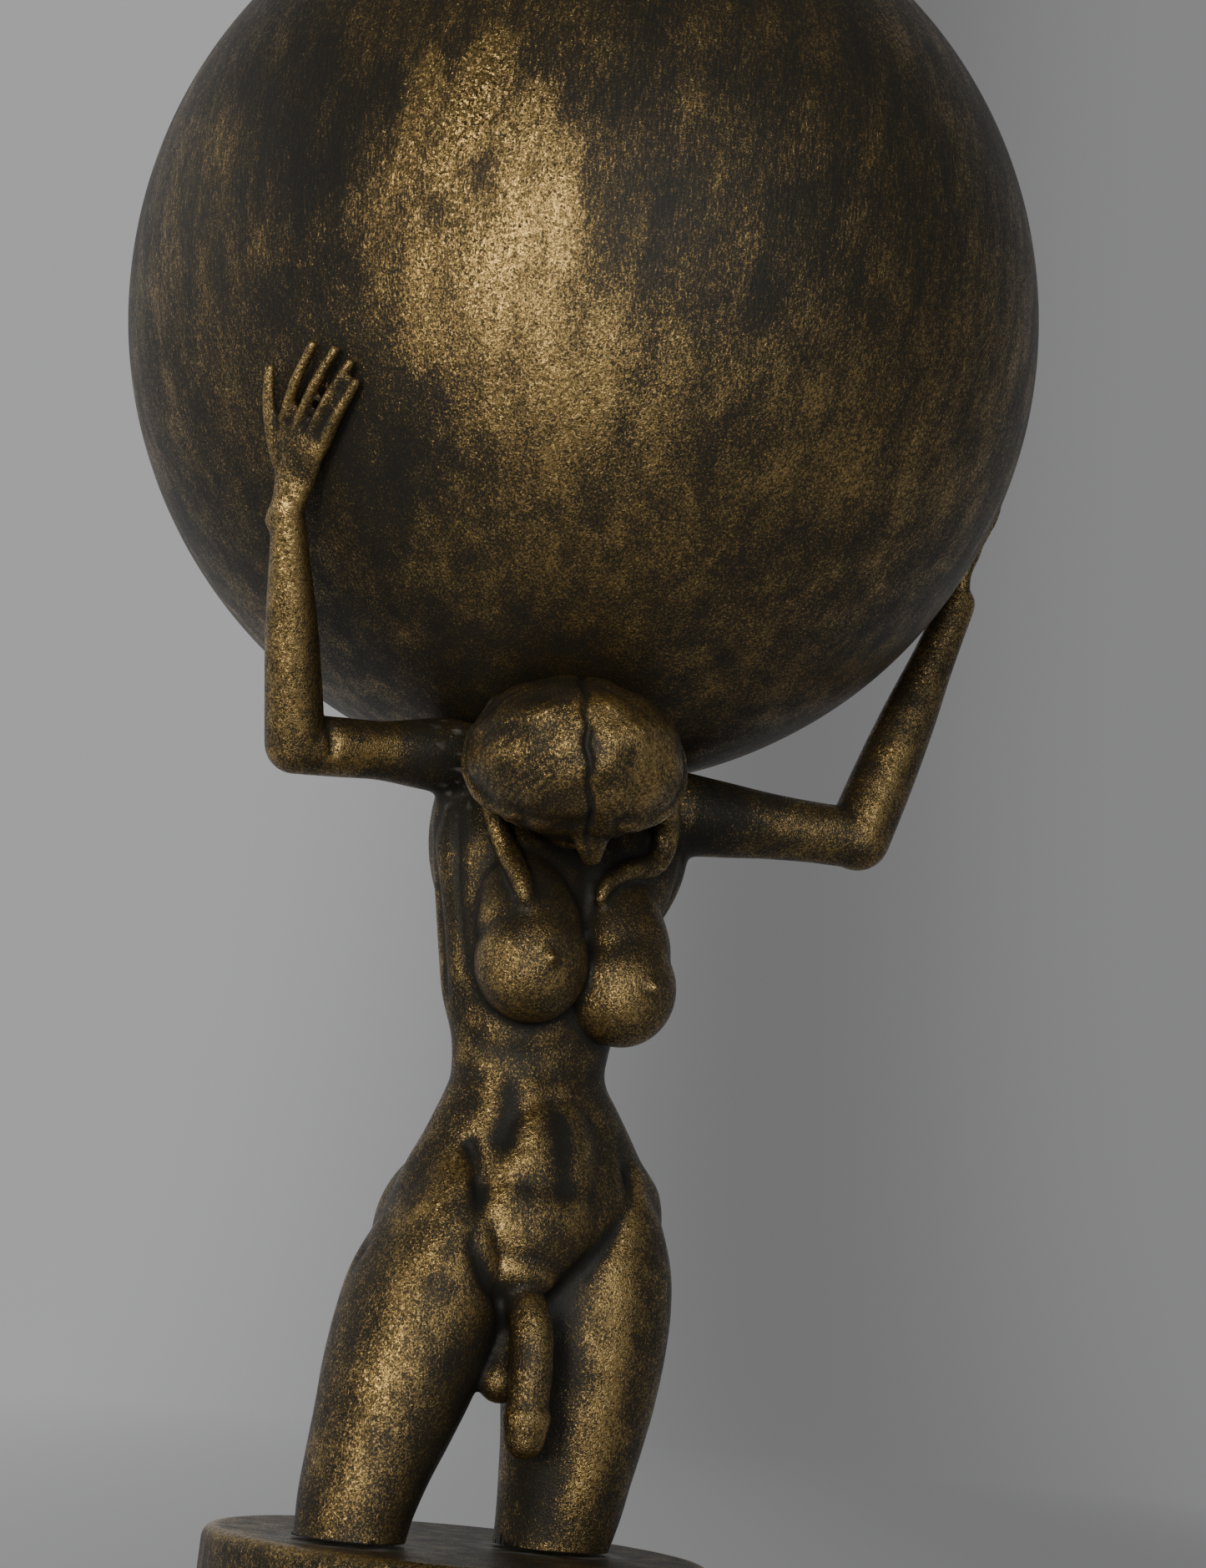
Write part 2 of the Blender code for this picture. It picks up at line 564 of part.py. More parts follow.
def main():
    clear_scene()
    statue = bpy.data.collections.new("atlas_statue")
    bpy.context.scene.collection.children.link(statue)
    make_base(painted_resin("base paint", (0.032, 0.028, 0.022), 0.45, 0.5), statue)
    make_figure(painted_resin("figure paint", (0.12, 0.085, 0.035), 0.4, 0.8), statue)
    make_globe(painted_resin("globe paint", (0.075, 0.056, 0.027), 0.42, 0.7), statue)


main()
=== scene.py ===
import bmesh
import bpy
import numpy as np
from mathutils import Matrix, Vector


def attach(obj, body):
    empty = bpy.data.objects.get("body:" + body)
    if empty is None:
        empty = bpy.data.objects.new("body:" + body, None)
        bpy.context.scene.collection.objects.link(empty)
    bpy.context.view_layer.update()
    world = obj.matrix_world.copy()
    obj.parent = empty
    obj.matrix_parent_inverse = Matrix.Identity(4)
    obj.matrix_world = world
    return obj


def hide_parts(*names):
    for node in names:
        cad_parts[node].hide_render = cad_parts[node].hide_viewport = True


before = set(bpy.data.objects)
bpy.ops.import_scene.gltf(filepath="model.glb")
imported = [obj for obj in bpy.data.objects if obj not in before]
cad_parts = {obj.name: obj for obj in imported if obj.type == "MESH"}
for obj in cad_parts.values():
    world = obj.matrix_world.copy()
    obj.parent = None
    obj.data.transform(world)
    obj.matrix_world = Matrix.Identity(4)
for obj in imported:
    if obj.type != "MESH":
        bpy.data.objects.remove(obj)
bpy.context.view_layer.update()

# Base.
# A plain round disc of cast resin, with the figure's two thighs glued to its top. It has the same
# near-black coat as the rest, and a nearly dry brush has caught its upper edge with dull gold.

MM = 0.001
BASE_RADIUS = 19.8 * MM
BASE_THICKNESS = 10.0 * MM
BASE_EDGE_ROUND = 1.0 * MM
BASE_FOOT_ROUND = 0.4 * MM
GLUE_GAP = 0.3 * MM


def grid_faces(rows, columns, around):
    """Quads of a grid of rows by columns of points, closed from its last column to its first
    where around is true. Its normals point along (column step) x (row step)."""
    last = columns if around else columns - 1
    row, column = np.meshgrid(np.arange(rows - 1), np.arange(last), indexing="ij")
    after = (column + 1) % columns
    quads = np.stack([
        row * columns + column, row * columns + after,
        (row + 1) * columns + after, (row + 1) * columns + column,
    ], -1)
    return quads.reshape(-1, 4)


def new_piece(name, points, faces, material):
    """One object at the origin, its place in its mesh, smooth, under one material."""
    mesh = bpy.data.meshes.new(name)
    mesh.from_pydata(points.reshape(-1, 3).tolist(), [], faces.tolist())
    mesh.validate()
    piece = bpy.data.objects.new(name, mesh)
    bpy.context.scene.collection.objects.link(piece)
    mesh.materials.append(material)
    mesh.shade_smooth()
    return piece


def base_surface(steps_round=240, steps_across=60, steps_up=12, steps_bend=7):
    """A profile turned about Z: out along the underside, round the lower edge, up the wall, round
    the upper edge as a quarter circle, and in to the middle. The two ends are drawn to a point."""
    bend = np.linspace(0, np.pi / 2, steps_bend)
    low = np.stack([
        BASE_RADIUS - BASE_FOOT_ROUND * (1 - np.sin(bend)), BASE_FOOT_ROUND * (1 - np.cos(bend)),
    ], 1)
    rise = np.linspace(0, 1, steps_up + 2)[1:-1] * (BASE_THICKNESS - BASE_EDGE_ROUND - BASE_FOOT_ROUND)
    wall = np.stack([0 * rise + BASE_RADIUS, BASE_FOOT_ROUND + rise], 1)
    high = np.stack([
        BASE_RADIUS - BASE_EDGE_ROUND * (1 - np.cos(bend)),
        BASE_THICKNESS - BASE_EDGE_ROUND * (1 - np.sin(bend)),
    ], 1)
    out = np.linspace(0, 1, steps_across)[:-1]
    under = np.stack([(BASE_RADIUS - BASE_FOOT_ROUND) * out, 0 * out], 1)
    top = np.stack([(BASE_RADIUS - BASE_EDGE_ROUND) * out[::-1], 0 * out + BASE_THICKNESS], 1)
    profile = np.vstack([under, low, wall, high, top])
    turn = np.arange(steps_round) * 2 * np.pi / steps_round
    x = profile[:, :1] * np.cos(turn)
    y = profile[:, :1] * np.sin(turn)
    z = profile[:, 1:] + 0 * x
    return np.stack([x, y, z], -1)


def weld(piece, reach=0.001 * MM):
    """Points at one place become one, so that poles are closed."""
    merge = piece.modifiers.new("closed poles", "WELD")
    merge.merge_threshold = reach


def linear(hexa):
    """An sRGB hex colour as the linear values that a shader socket takes."""
    srgb = np.array([int(hexa[i:i + 2], 16) for i in (1, 3, 5)]) / 255
    return (*np.where(srgb <= 0.04045, srgb / 12.92, ((srgb + 0.055) / 1.055) ** 2.4), 1.0)


def add(tree, kind, settings=None, links=None):
    """One shader node with its settings and its inputs. An input is a value or another node's
    socket; a setting is an attribute of the node."""
    node = tree.nodes.new(kind)
    for name, value in (settings or {}).items():
        setattr(node, name, value)
    for name, value in (links or {}).items():
        if isinstance(value, bpy.types.NodeSocket):
            tree.links.new(value, node.inputs[name])
        else:
            node.inputs[name].default_value = value
    return node


def gold_on_black(name, brush_turn, brush_stretch):
    """Near-black satin coat with gold metallic paint brushed and dabbed over it, nearly dry.
    The coat is a dark, faintly olive lacquer, and the paint is bronze powder in a thin binder:
    single flakes catch the light, raised forms take the most, and hollows stay black. How much
    paint there is comes from the piece's own point attribute, and noise breaks it up at the
    brush's real scale: hair marks 0.17 mm wide and drawn out along the stroke, dabs of 0.12 mm,
    blotches of 2.4 mm, and flakes of 0.18 mm, a little coarser than real so that they show. A
    second attribute marks where pale glue or dust lies on the paint."""
    paint = bpy.data.materials.new(name)
    paint.use_nodes = True
    tree = paint.node_tree
    tree.nodes.clear()
    out = add(tree, "ShaderNodeOutputMaterial")
    place = add(tree, "ShaderNodeTexCoord").outputs["Object"]
    amount = add(tree, "ShaderNodeAttribute", {"attribute_name": "gold"}).outputs["Fac"]
    residue = add(tree, "ShaderNodeAttribute", {"attribute_name": "residue"}).outputs["Fac"]

    along = add(tree, "ShaderNodeMapping", links={
        "Vector": place, "Rotation": brush_turn, "Scale": brush_stretch,
    }).outputs["Vector"]
    hairs = add(tree, "ShaderNodeTexNoise", links={
        "Vector": along, "Scale": 6000.0, "Detail": 2.0, "Roughness": 0.55,
    }).outputs["Fac"]
    dabs = add(tree, "ShaderNodeTexNoise", links={
        "Vector": place, "Scale": 8500.0, "Detail": 2.0, "Roughness": 0.6,
    }).outputs["Fac"]
    blotches = add(tree, "ShaderNodeTexNoise", links={
        "Vector": along, "Scale": 420.0, "Detail": 4.0, "Roughness": 0.65,
    }).outputs["Fac"]
    grain = add(tree, "ShaderNodeMath", {"operation": "MULTIPLY_ADD"}, {
        0: hairs, 1: 0.7, 2: dabs,
    }).outputs[0]
    grain = add(tree, "ShaderNodeMath", {"operation": "MULTIPLY_ADD"}, {
        0: blotches, 1: 0.7, 2: grain,
    }).outputs[0]
    level = add(tree, "ShaderNodeMath", {"operation": "MULTIPLY_ADD"}, {
        0: grain, 1: 1.9, 2: amount,
    }).outputs[0]
    cover = add(tree, "ShaderNodeMapRange", {"interpolation_type": "SMOOTHSTEP"}, {
        "Value": level, "From Min": 2.6, "From Max": 3.35,
    }).outputs["Result"]
    worn = add(tree, "ShaderNodeMapRange", {"interpolation_type": "SMOOTHSTEP"}, {
        "Value": level, "From Min": 2.2, "From Max": 3.0,
    }).outputs["Result"]

    flakes = add(tree, "ShaderNodeTexVoronoi", {"feature": "F1"}, {
        "Vector": place, "Scale": 5600.0,
    })
    spark = add(tree, "ShaderNodeSeparateColor", links={"Color": flakes.outputs["Color"]})
    film = add(tree, "ShaderNodeMix", {"data_type": "RGBA"}, {
        "Factor": spark.outputs["Red"], "A": linear("#60533a"), "B": linear("#cfae6f"),
    }).outputs["Result"]
    thin = add(tree, "ShaderNodeMix", {"data_type": "RGBA"}, {
        "Factor": cover, "A": linear("#463f31"), "B": film,
    }).outputs["Result"]
    colour = add(tree, "ShaderNodeMix", {"data_type": "RGBA"}, {
        "Factor": worn, "A": linear("#242320"), "B": thin,
    }).outputs["Result"]
    colour = add(tree, "ShaderNodeMix", {"data_type": "RGBA"}, {
        "Factor": residue, "A": colour, "B": linear("#8b8b86"),
    }).outputs["Result"]
    bare = add(tree, "ShaderNodeMath", {"operation": "MULTIPLY_ADD"}, {
        0: residue, 1: -0.88, 2: 0.88,
    }).outputs[0]
    metal = add(tree, "ShaderNodeMath", {"operation": "MULTIPLY"}, {0: worn, 1: bare}).outputs[0]
    dull = add(tree, "ShaderNodeMapRange", links={
        "Value": cover, "From Min": 0.0, "From Max": 1.0, "To Min": 0.42, "To Max": 0.24,
    }).outputs["Result"]

    tilt = add(tree, "ShaderNodeVectorMath", {"operation": "SUBTRACT"}, {
        0: flakes.outputs["Color"], 1: (0.5, 0.5, 0.5),
    }).outputs["Vector"]
    lean = add(tree, "ShaderNodeMath", {"operation": "MULTIPLY"}, {0: cover, 1: 0.42}).outputs[0]
    tilt = add(tree, "ShaderNodeVectorMath", {"operation": "SCALE"}, {
        "Vector": tilt, "Scale": lean,
    }).outputs["Vector"]
    height = add(tree, "ShaderNodeMath", {"operation": "MULTIPLY_ADD"}, {
        0: cover, 1: 0.3, 2: grain,
    }).outputs[0]
    relief = add(tree, "ShaderNodeBump", links={
        "Strength": 0.5, "Distance": 0.08 * MM, "Height": height,
    }).outputs["Normal"]
    facing = add(tree, "ShaderNodeVectorMath", {"operation": "ADD"}, {
        0: relief, 1: tilt,
    }).outputs["Vector"]
    facing = add(tree, "ShaderNodeVectorMath", {"operation": "NORMALIZE"}, {
        0: facing,
    }).outputs["Vector"]
    shader = add(tree, "ShaderNodeBsdfPrincipled", links={
        "Base Color": colour, "Metallic": metal, "Roughness": dull, "Normal": facing,
        "Specular IOR Level": 0.15,
    })
    tree.links.new(shader.outputs["BSDF"], out.inputs["Surface"])
    return paint


def keep(piece, what, amount):
    """A value for each point, kept on the mesh under a name for the paint to read."""
    layer = piece.data.attributes.new(what, "FLOAT", "POINT")
    layer.data.foreach_set("value", np.asarray(amount, np.float32).ravel())


def waves(points, size, seed, count=24):
    """Smooth unevenness from -1 to 1: a sum of sine waves of about one wavelength, each with a
    random direction and phase."""
    chance = np.random.default_rng(seed)
    way = chance.normal(size=(count, 3))
    way *= (2 * np.pi / size) / np.linalg.norm(way, axis=1, keepdims=True)
    way *= chance.uniform(0.7, 1.4, (count, 1))
    phase = chance.uniform(0, 2 * np.pi, count)
    return np.sin(points @ way.T + phase).sum(-1) / np.sqrt(count)


# Where each thigh meets the base's top, for the pale glue round it: x, y and radius.
THIGH_ENDS = ((-11.0 * MM, -3.1 * MM, 4.3 * MM), (6.7 * MM, -2.5 * MM, 4.5 * MM))
GLUE_WIDTH = 1.3 * MM
rows = base_surface()
base = new_piece("base_disc", rows, grid_faces(len(rows), rows.shape[1], True), gold_on_black(
    "base: gold dry-brushed on black lacquer", (0.0, 0.0, 0.0), (1.0, 1.0, 0.25)))
out_from_middle = np.hypot(rows[..., 0], rows[..., 1])
on_top = rows[..., 2] > BASE_THICKNESS - 0.1 * MM
rim = np.exp(-((rows[..., 2] - BASE_THICKNESS) / (0.5 * MM)) ** 2)
rim *= np.exp(-((out_from_middle - BASE_RADIUS + 0.5 * MM) / (0.6 * MM)) ** 2)
towards_right_hand = np.clip(-rows[..., 0] / BASE_RADIUS, 0, 1)
keep(base, "gold", 0.4 + 0.7 * rim + 0.25 * towards_right_hand * on_top)
residue = np.zeros(rows.shape[:2])
for x, y, radius in THIGH_ENDS:
    ring = (np.hypot(rows[..., 0] - x, rows[..., 1] - y) - radius - 0.5 * MM) / GLUE_WIDTH
    residue = np.maximum(residue, np.exp(-ring**2) * on_top)
keep(base, "residue", residue * np.clip(0.5 + 0.6 * waves(rows / MM, 2.2, 31), 0, 1))
weld(base)
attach(base, "root")
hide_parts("base")

# Globe.
# A plain smooth ball of cast resin, under the same black coat, with gold paint brushed over it in
# short strokes and dabs. It is glued to the figure's neck and shoulders and to its two hands.

FIGURE_FOOT = BASE_THICKNESS + GLUE_GAP
FIGURE_HEIGHT = 62.1 * MM
GLOBE_RADIUS = 40.0 * MM
GLOBE_CENTRE = np.array([0.0, 0.0, FIGURE_FOOT + FIGURE_HEIGHT + GLUE_GAP + GLOBE_RADIUS])


def globe_directions(steps=120):
    """The six sides of a cube of steps by steps quads, as directions from its middle. The angle
    from a side's middle is the same for each step: tan(angle) across, tan(angle) up."""
    angle = np.tan(np.linspace(-np.pi / 4, np.pi / 4, steps + 1))
    across, up = np.meshgrid(angle, angle, indexing="ij")
    one = np.ones_like(across)
    sides = np.stack([
        np.stack([one, across, up], -1), np.stack([-one, -across, up], -1),
        np.stack([-across, one, up], -1), np.stack([across, -one, up], -1),
        np.stack([-up, across, one], -1), np.stack([up, across, -one], -1),
    ])
    return sides / np.linalg.norm(sides, axis=-1, keepdims=True)


def patch(facing, middle, reach):
    """1 at a direction and fading away from it: exp(-(angle / reach) ** 2)."""
    middle = np.asarray(middle, float) / np.linalg.norm(middle)
    return np.exp(-((np.arccos(np.clip(facing @ middle, -1, 1)) / np.radians(reach)) ** 2))


GLOBE_UNEVEN = 0.02 * MM
# Where the brush was fuller or drier: a direction on the ball, its reach in degrees, and how much.
# The first dab, where the key lamp's highlight falls, is partly painted highlight, and the dry dab
# beside the right forearm is partly painted shadow of the forearm.
GLOBE_DABS_AND_PAINTED_LIGHT = (
    # More gold where the key lamp's highlight falls: partly painted highlight.
    ((-0.583, -0.736, -0.344), 11, 0.32), ((-0.62, -0.76, -0.20), 9, 0.2),
    ((-0.47, -0.72, -0.50), 12, 0.25), ((-0.70, -0.706, -0.04), 11, 0.15),
    ((-0.30, -0.62, -0.72), 14, 0.20), ((0.20, -0.72, -0.66), 24, 0.22),
    # The second dab here, beside the right forearm, is partly painted shadow of the forearm.
    ((0.45, -0.86, -0.20), 22, 0.12), ((-0.66, -0.40, -0.64), 10, -0.2),
    ((-0.36, -0.90, -0.22), 9, -0.18), ((0.10, -0.98, -0.12), 14, -0.15),
    ((-0.86, -0.48, -0.10), 14, -0.20), ((-0.93, -0.16, -0.33), 10, 0.10),
)
# Separate wet strokes on the ball, each from one direction to another.
GLOBE_STROKES = (
    ((-0.586, -0.807, -0.02), (-0.56, -0.78, -0.28)), ((-0.53, -0.83, -0.10), (-0.50, -0.82, -0.30)),
    ((-0.68, -0.73, 0.06), (-0.70, -0.68, -0.16)), ((-0.74, -0.67, 0.05), (-0.75, -0.63, -0.15)),
    ((-0.64, -0.76, 0.10), (-0.66, -0.73, -0.10)),
)
STROKE_HALF_WIDTH = 0.035
sides = globe_directions()
one_side = grid_faces(*sides.shape[1:3], False)
points_a_side = sides.shape[1] * sides.shape[2]
quads = (np.arange(len(sides))[:, None, None] * points_a_side + one_side).reshape(-1, 4)
outward_quads = quads[:, ::-1]
facing = sides.reshape(-1, 3)
uneven = np.minimum(GLOBE_UNEVEN * (waves(facing, 0.5, 4) - 2.5), 0)
surface = GLOBE_CENTRE + facing * (GLOBE_RADIUS + uneven)[:, None]
globe = new_piece("globe_ball", surface, outward_quads, gold_on_black(
    "globe: gold brushed and dabbed on black lacquer", (0.0, 0.35, 0.0), (1.0, 1.0, 0.2)))
amount = 0.34 + 0.06 * waves(facing, 0.5, 9) + 0.06 * waves(facing, 0.16, 12)
for middle, reach, more in GLOBE_DABS_AND_PAINTED_LIGHT:
    amount += more * patch(facing, middle, reach)
for start, end in GLOBE_STROKES:
    start, stroke = np.array(start), np.subtract(end, start)
    share = np.clip((facing - start) @ stroke / (stroke @ stroke), 0, 1)
    off = np.linalg.norm(facing - start - share[:, None] * stroke, axis=1)
    amount += 0.4 * np.exp(-((off / STROKE_HALF_WIDTH) ** 4))
keep(globe, "gold", amount)
weld(globe)
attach(globe, "root")
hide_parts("globe")

# Figure.
# One resin casting: a nude figure, cut off above the knees, head bowed under the load and both arms
# raised. It is glued to the base by its thighs. Its forms are soft, and the paint is on its ridges,
# with painted highlight laid along them and painted shade in its creases and under its head and arms.

# The figure's own measures are in units of its height: a unit is a millimetre at the real size.
UNIT = FIGURE_HEIGHT / 62.1
SKIN_CELL = 0.25 * MM
FIGURE_TRIANGLES = 190_000
# A hand on the globe: degrees from the front, degrees up from the globe's lowest point, and how
# far its fingers turn towards the front.
RIGHT_HAND = (65.3, 55.3, 35.0)
LEFT_HAND = (77.0, 74.0, 18.0)
# The bowed head: its middle, half its width, depth and height, and its turn to the right.
HEAD_MIDDLE = (-4.7, -14.4, 59.8)
HEAD_HALF = (8.5, 7.4, 6.3)
HEAD_TURN = -28.5
HAIR_WAVE = 0.9
HAIR_DEPTH = 0.035
PARTING_WIDTH = 0.28
PARTING_DEPTH = 0.4
# Where limbs grow out of the trunk the skin is smoothed further: x, y, z and reach.
SOFT_JOINS = (
    (-6.0, -6.8, 27.0, 4.0), (8.6, -6.8, 28.5, 4.0), (-6.0, 2.0, 24.0, 8.0), (8.0, 2.0, 24.0, 8.0),
    (3.6, -7.6, 19.0, 2.6), (-8.5, -1.5, 59.5, 4.5), (13.5, -1.5, 59.5, 4.5), (-8.0, 1.0, 48.0, 5.0),
    (10.0, 1.0, 48.0, 5.0), (-2.0, -6.0, 60.0, 4.0), (-3.2, -9.0, 48.2, 4.6), (5.4, -9.0, 47.6, 4.6),
    (-1.5, -7.0, 19.0, 2.6),
)
# Carved lines: half width, depth (a ridge where it is negative), then points. Those of the flank
# are carved again on the other side of FLANK_MIRROR.
FLANK_MIRROR = 1.2
FRONT_LINES = (
    (0.7, 0.6, (-5.8, -5.8, 29.9), (-5.6, -7.2, 28.1), (-5.4, -7.4, 26.4), (-5.9, -7.6, 24.0),
     (-6.2, -8.3, 21.9), (-5.0, -8.5, 19.7), (-3.3, -7.6, 18.4)),
    (0.9, 0.6, (8.2, -7.1, 29.4), (8.0, -7.1, 27.8), (7.6, -7.5, 26.3), (6.0, -7.9, 24.3),
     (4.2, -8.2, 22.2), (2.5, -8.1, 19.7), (1.4, -8.0, 18.3)),
    (1.3, -0.15, (-4.0, -5.7, 35.2), (-4.6, -6.1, 33.4), (-4.9, -6.2, 31.4)),
    (1.2, 0.2, (-2.7, -5.8, 34.6), (-2.9, -6.2, 32.6), (-3.5, -7.0, 30.6)),
    (1.4, -0.25, (-1.7, -6.9, 35.1), (-1.8, -7.8, 32.7), (-2.4, -8.8, 30.3), (-3.5, -8.3, 28.3),
     (-4.0, -8.5, 26.3), (-4.4, -8.3, 24.4), (-4.5, -8.8, 22.2), (-3.1, -8.5, 20.6)),
    (1.2, 0.2, (0.6, -7.9, 33.4), (0.9, -8.8, 31.1), (1.2, -9.4, 29.2), (1.0, -9.5, 27.0)),
    (1.5, -0.18, (2.2, -8.2, 33.6), (2.4, -9.2, 30.8), (2.5, -9.7, 28.0), (2.0, -9.7, 25.0)),
    (0.9, 0.12, (-5.7, -1.4, 35.7), (-5.2, -4.3, 35.4), (-3.7, -5.7, 35.7), (-1.1, -6.4, 36.0),
     (2.6, -6.6, 36.4), (6.8, -4.3, 37.4)),
    (0.8, 0.15, (-5.8, -4.0, 38.6), (-4.5, -5.3, 37.6), (-3.1, -5.9, 37.5), (-1.0, -6.6, 37.7),
     (1.0, -7.0, 38.5)),
    (1.0, 0.4, (1.2, -6.6, 55.5), (1.2, -7.6, 51.0), (1.2, -8.6, 47.5), (1.2, -8.6, 43.4)),
    (0.4, 0.5, (-21.4, -4.8, 61.6), (-21.3, -5.0, 60.2), (-20.9, -4.9, 58.4)),
)
FLANK_LINES = (
    (0.6, 0.3, (-10.2, -2.2, 57.0), (-9.4, -1.4, 53.8), (-8.9, -1.6, 49.3), (-8.3, -1.8, 45.3),
     (-7.6, -1.6, 42.0)),
    (0.6, 0.35, (-9.8, -3.8, 57.3), (-9.2, -4.2, 54.5), (-8.7, -4.3, 50.4), (-8.1, -4.5, 47.0),
     (-7.4, -4.6, 44.0)),
    (0.9, 0.4, (0.0, 3.6, 17.0), (-3.4, 4.6, 16.2), (-7.8, 4.0, 16.4)),
    (0.8, 0.35, (-12.4, -1.6, 9.0), (-12.0, -1.2, 15.0), (-11.4, -1.2, 21.0)),
)
# Where the brush was fuller, or drier where it is negative: half width, how much, then points.
# Gold along ridges is partly painted highlight where the lamps' highlights fall, and black in
# creases, between the thighs, under the head and arms and along the flank is partly painted shade.
GOLD_AND_PAINTED_LIGHT_STROKES = (
    (1.5, 0.3, (-6.7, -5.9, 27.3), (-8.8, -6.7, 24.5), (-9.8, -7.3, 21.9), (-10.5, -7.4, 18.8),
     (-10.9, -7.4, 16.3), (-11.7, -7.1, 12.6), (-12.3, -6.7, 8.9), (-12.4, -6.5, 4.0)),
    # Left thigh: more gold than the right, partly painted highlight for a highlight its ridge does not
    # catch.
    (1.5, 0.45, (8.8, -7.8, 27.2), (7.9, -8.6, 25.1), (7.1, -9.1, 23.1), (6.7, -9.5, 20.5),
     (6.7, -9.6, 16.7), (6.7, -9.2, 12.9), (6.4, -8.6, 9.1), (6.2, -7.8, 4.7)),
    (0.9, 0.25, (-4.0, -5.7, 35.4), (-4.5, -6.0, 33.4), (-4.9, -6.2, 31.4)),
    (1.2, 0.35, (-1.7, -6.9, 35.1), (-1.8, -7.8, 32.7), (-2.4, -8.8, 30.3), (-3.7, -8.3, 28.3),
     (-4.0, -8.5, 26.3), (-4.2, -8.6, 24.4), (-3.6, -9.2, 22.2), (-2.4, -9.6, 21.0)),
    (1.3, 0.2, (2.2, -8.2, 33.6), (2.4, -9.2, 30.8), (2.5, -9.7, 28.0), (2.0, -9.7, 25.0)),
    # Breasts: more gold on each, as painted highlight where the key lamp's highlight falls.
    (2.2, 0.15, (-6.4, -10.0, 43.0), (-4.5, -11.5, 42.5)),
    (2.2, 0.15, (2.0, -10.4, 43.4), (4.5, -11.3, 42.0)),
    (1.0, 0.35, (-7.2, -5.2, 28.6), (-6.6, -5.6, 27.6)),
    (1.0, 0.35, (9.4, -7.0, 29.0), (9.2, -7.6, 28.0)),
    # Right arm and crown: more gold, partly dry-brush and partly painted light that brightens them.
    (1.3, 0.5, (-24.5, -4.6, 60.5), (-26.5, -7.2, 65.5), (-28.6, -9.8, 70.5), (-30.6, -12.2, 75.0)),
    (1.6, 0.3, (-20.5, -4.9, 58.6), (-15.5, -5.2, 59.6)),
    (2.6, 0.42, (-6.0, -21.0, 62.0), (-2.0, -21.5, 60.0), (-2.0, -21.0, 57.0)),
    # From here on the black lies in creases, between the thighs, under the head and arms and along the
    # flank: partly unbrushed coat, partly painted shade.
    (1.0, -0.5, (-2.7, -5.8, 34.3), (-2.9, -6.3, 32.4), (-3.5, -7.0, 30.8)),
    (0.9, -0.5, (0.7, -8.2, 32.6), (0.9, -9.0, 30.0), (1.0, -9.5, 27.5)),
    (0.7, -0.5, (-5.8, -5.8, 29.9), (-5.6, -7.2, 28.1), (-5.4, -7.4, 26.4), (-5.9, -7.6, 24.0),
     (-6.2, -8.3, 21.9), (-5.0, -8.5, 19.7), (-3.3, -7.6, 18.4)),
    (0.7, -0.5, (8.2, -7.1, 29.4), (8.0, -7.1, 27.8), (7.6, -7.5, 26.3), (6.0, -7.9, 24.3),
     (4.2, -8.2, 22.2), (2.5, -8.1, 19.7), (1.4, -8.0, 18.3)),
    (2.2, -0.6, (2.2, -8.0, 18.0), (2.0, -8.0, 14.0), (2.0, -7.2, 9.0), (2.2, -6.0, 3.0)),
    (2.0, -0.4, (-3.0, -7.0, 18.0), (-4.4, -6.6, 13.0), (-6.2, -5.6, 8.0), (-7.4, -4.6, 3.0)),
    # Throat and chest under the bowed head: black as painted shadow of the head.
    (3.0, -0.5, (1.2, -7.0, 57.5), (0.6, -7.2, 54.0)),
    # Armpits and shoulders: black as painted shade under the arms.
    (2.4, -0.4, (-9.6, -3.0, 58.6), (-8.4, -3.0, 56.0)),
    (2.4, -0.4, (13.6, -4.0, 59.6), (12.0, -5.0, 57.0)),
    (2.2, -0.5, (-10.5, -4.0, 61.0), (-13.5, -4.6, 60.2)),
    (2.5, -0.2, (-9.0, -3.0, 55.0), (-7.5, -4.0, 42.0)),
    # Left arm: more gold, partly painted highlight along the lit side of the forearm.
    (1.2, 0.4, (28.5, -9.5, 63.0), (31.0, -9.8, 69.0)),
    (1.6, 0.2, (20.0, -9.0, 60.5), (24.0, -9.5, 61.0)),
    (1.6, -0.35, (-10.2, -18.2, 63.3), (-7.5, -19.0, 64.6)),
    (0.5, -0.5, (-7.0, -20.8, 63.4), (-7.6, -21.4, 60.5), (-7.0, -21.0, 57.4)),
    (2.2, -0.3, (14.5, -6.0, 61.5), (18.0, -7.0, 61.5)),
)
BACK_LINES = (
    (1.0, 0.7, (2.0, 3.6, 57.0), (1.4, 4.4, 50.0), (0.9, 3.6, 42.0), (0.8, 2.8, 36.0),
     (1.2, 4.4, 30.0), (1.1, 6.0, 26.5)),
    (0.8, 1.3, (1.1, 6.2, 27.5), (0.6, 6.4, 22.0), (-0.2, 4.6, 17.0)),
)


def spread(rows, per):
    """The rows with per - 1 more between each two, on a Catmull-Rom spline through them."""
    rows = np.asarray(rows, float)
    before = np.vstack([2 * rows[0] - rows[1], rows[:-2]])[:, None]
    after = np.vstack([rows[2:], 2 * rows[-1] - rows[-2]])[:, None]
    start, end = rows[:-1, None], rows[1:, None]
    t = (np.arange(per) / per)[None, :, None]
    curve = (
        (2 * t**3 - 3 * t**2 + 1) * start
        + (t**3 - 2 * t**2 + t) * (end - before) / 2
        + (3 * t**2 - 2 * t**3) * end
        + (t**3 - t**2) * (after - start) / 2
    )
    return np.vstack([curve.reshape(-1, rows.shape[1]), rows[-1:]])


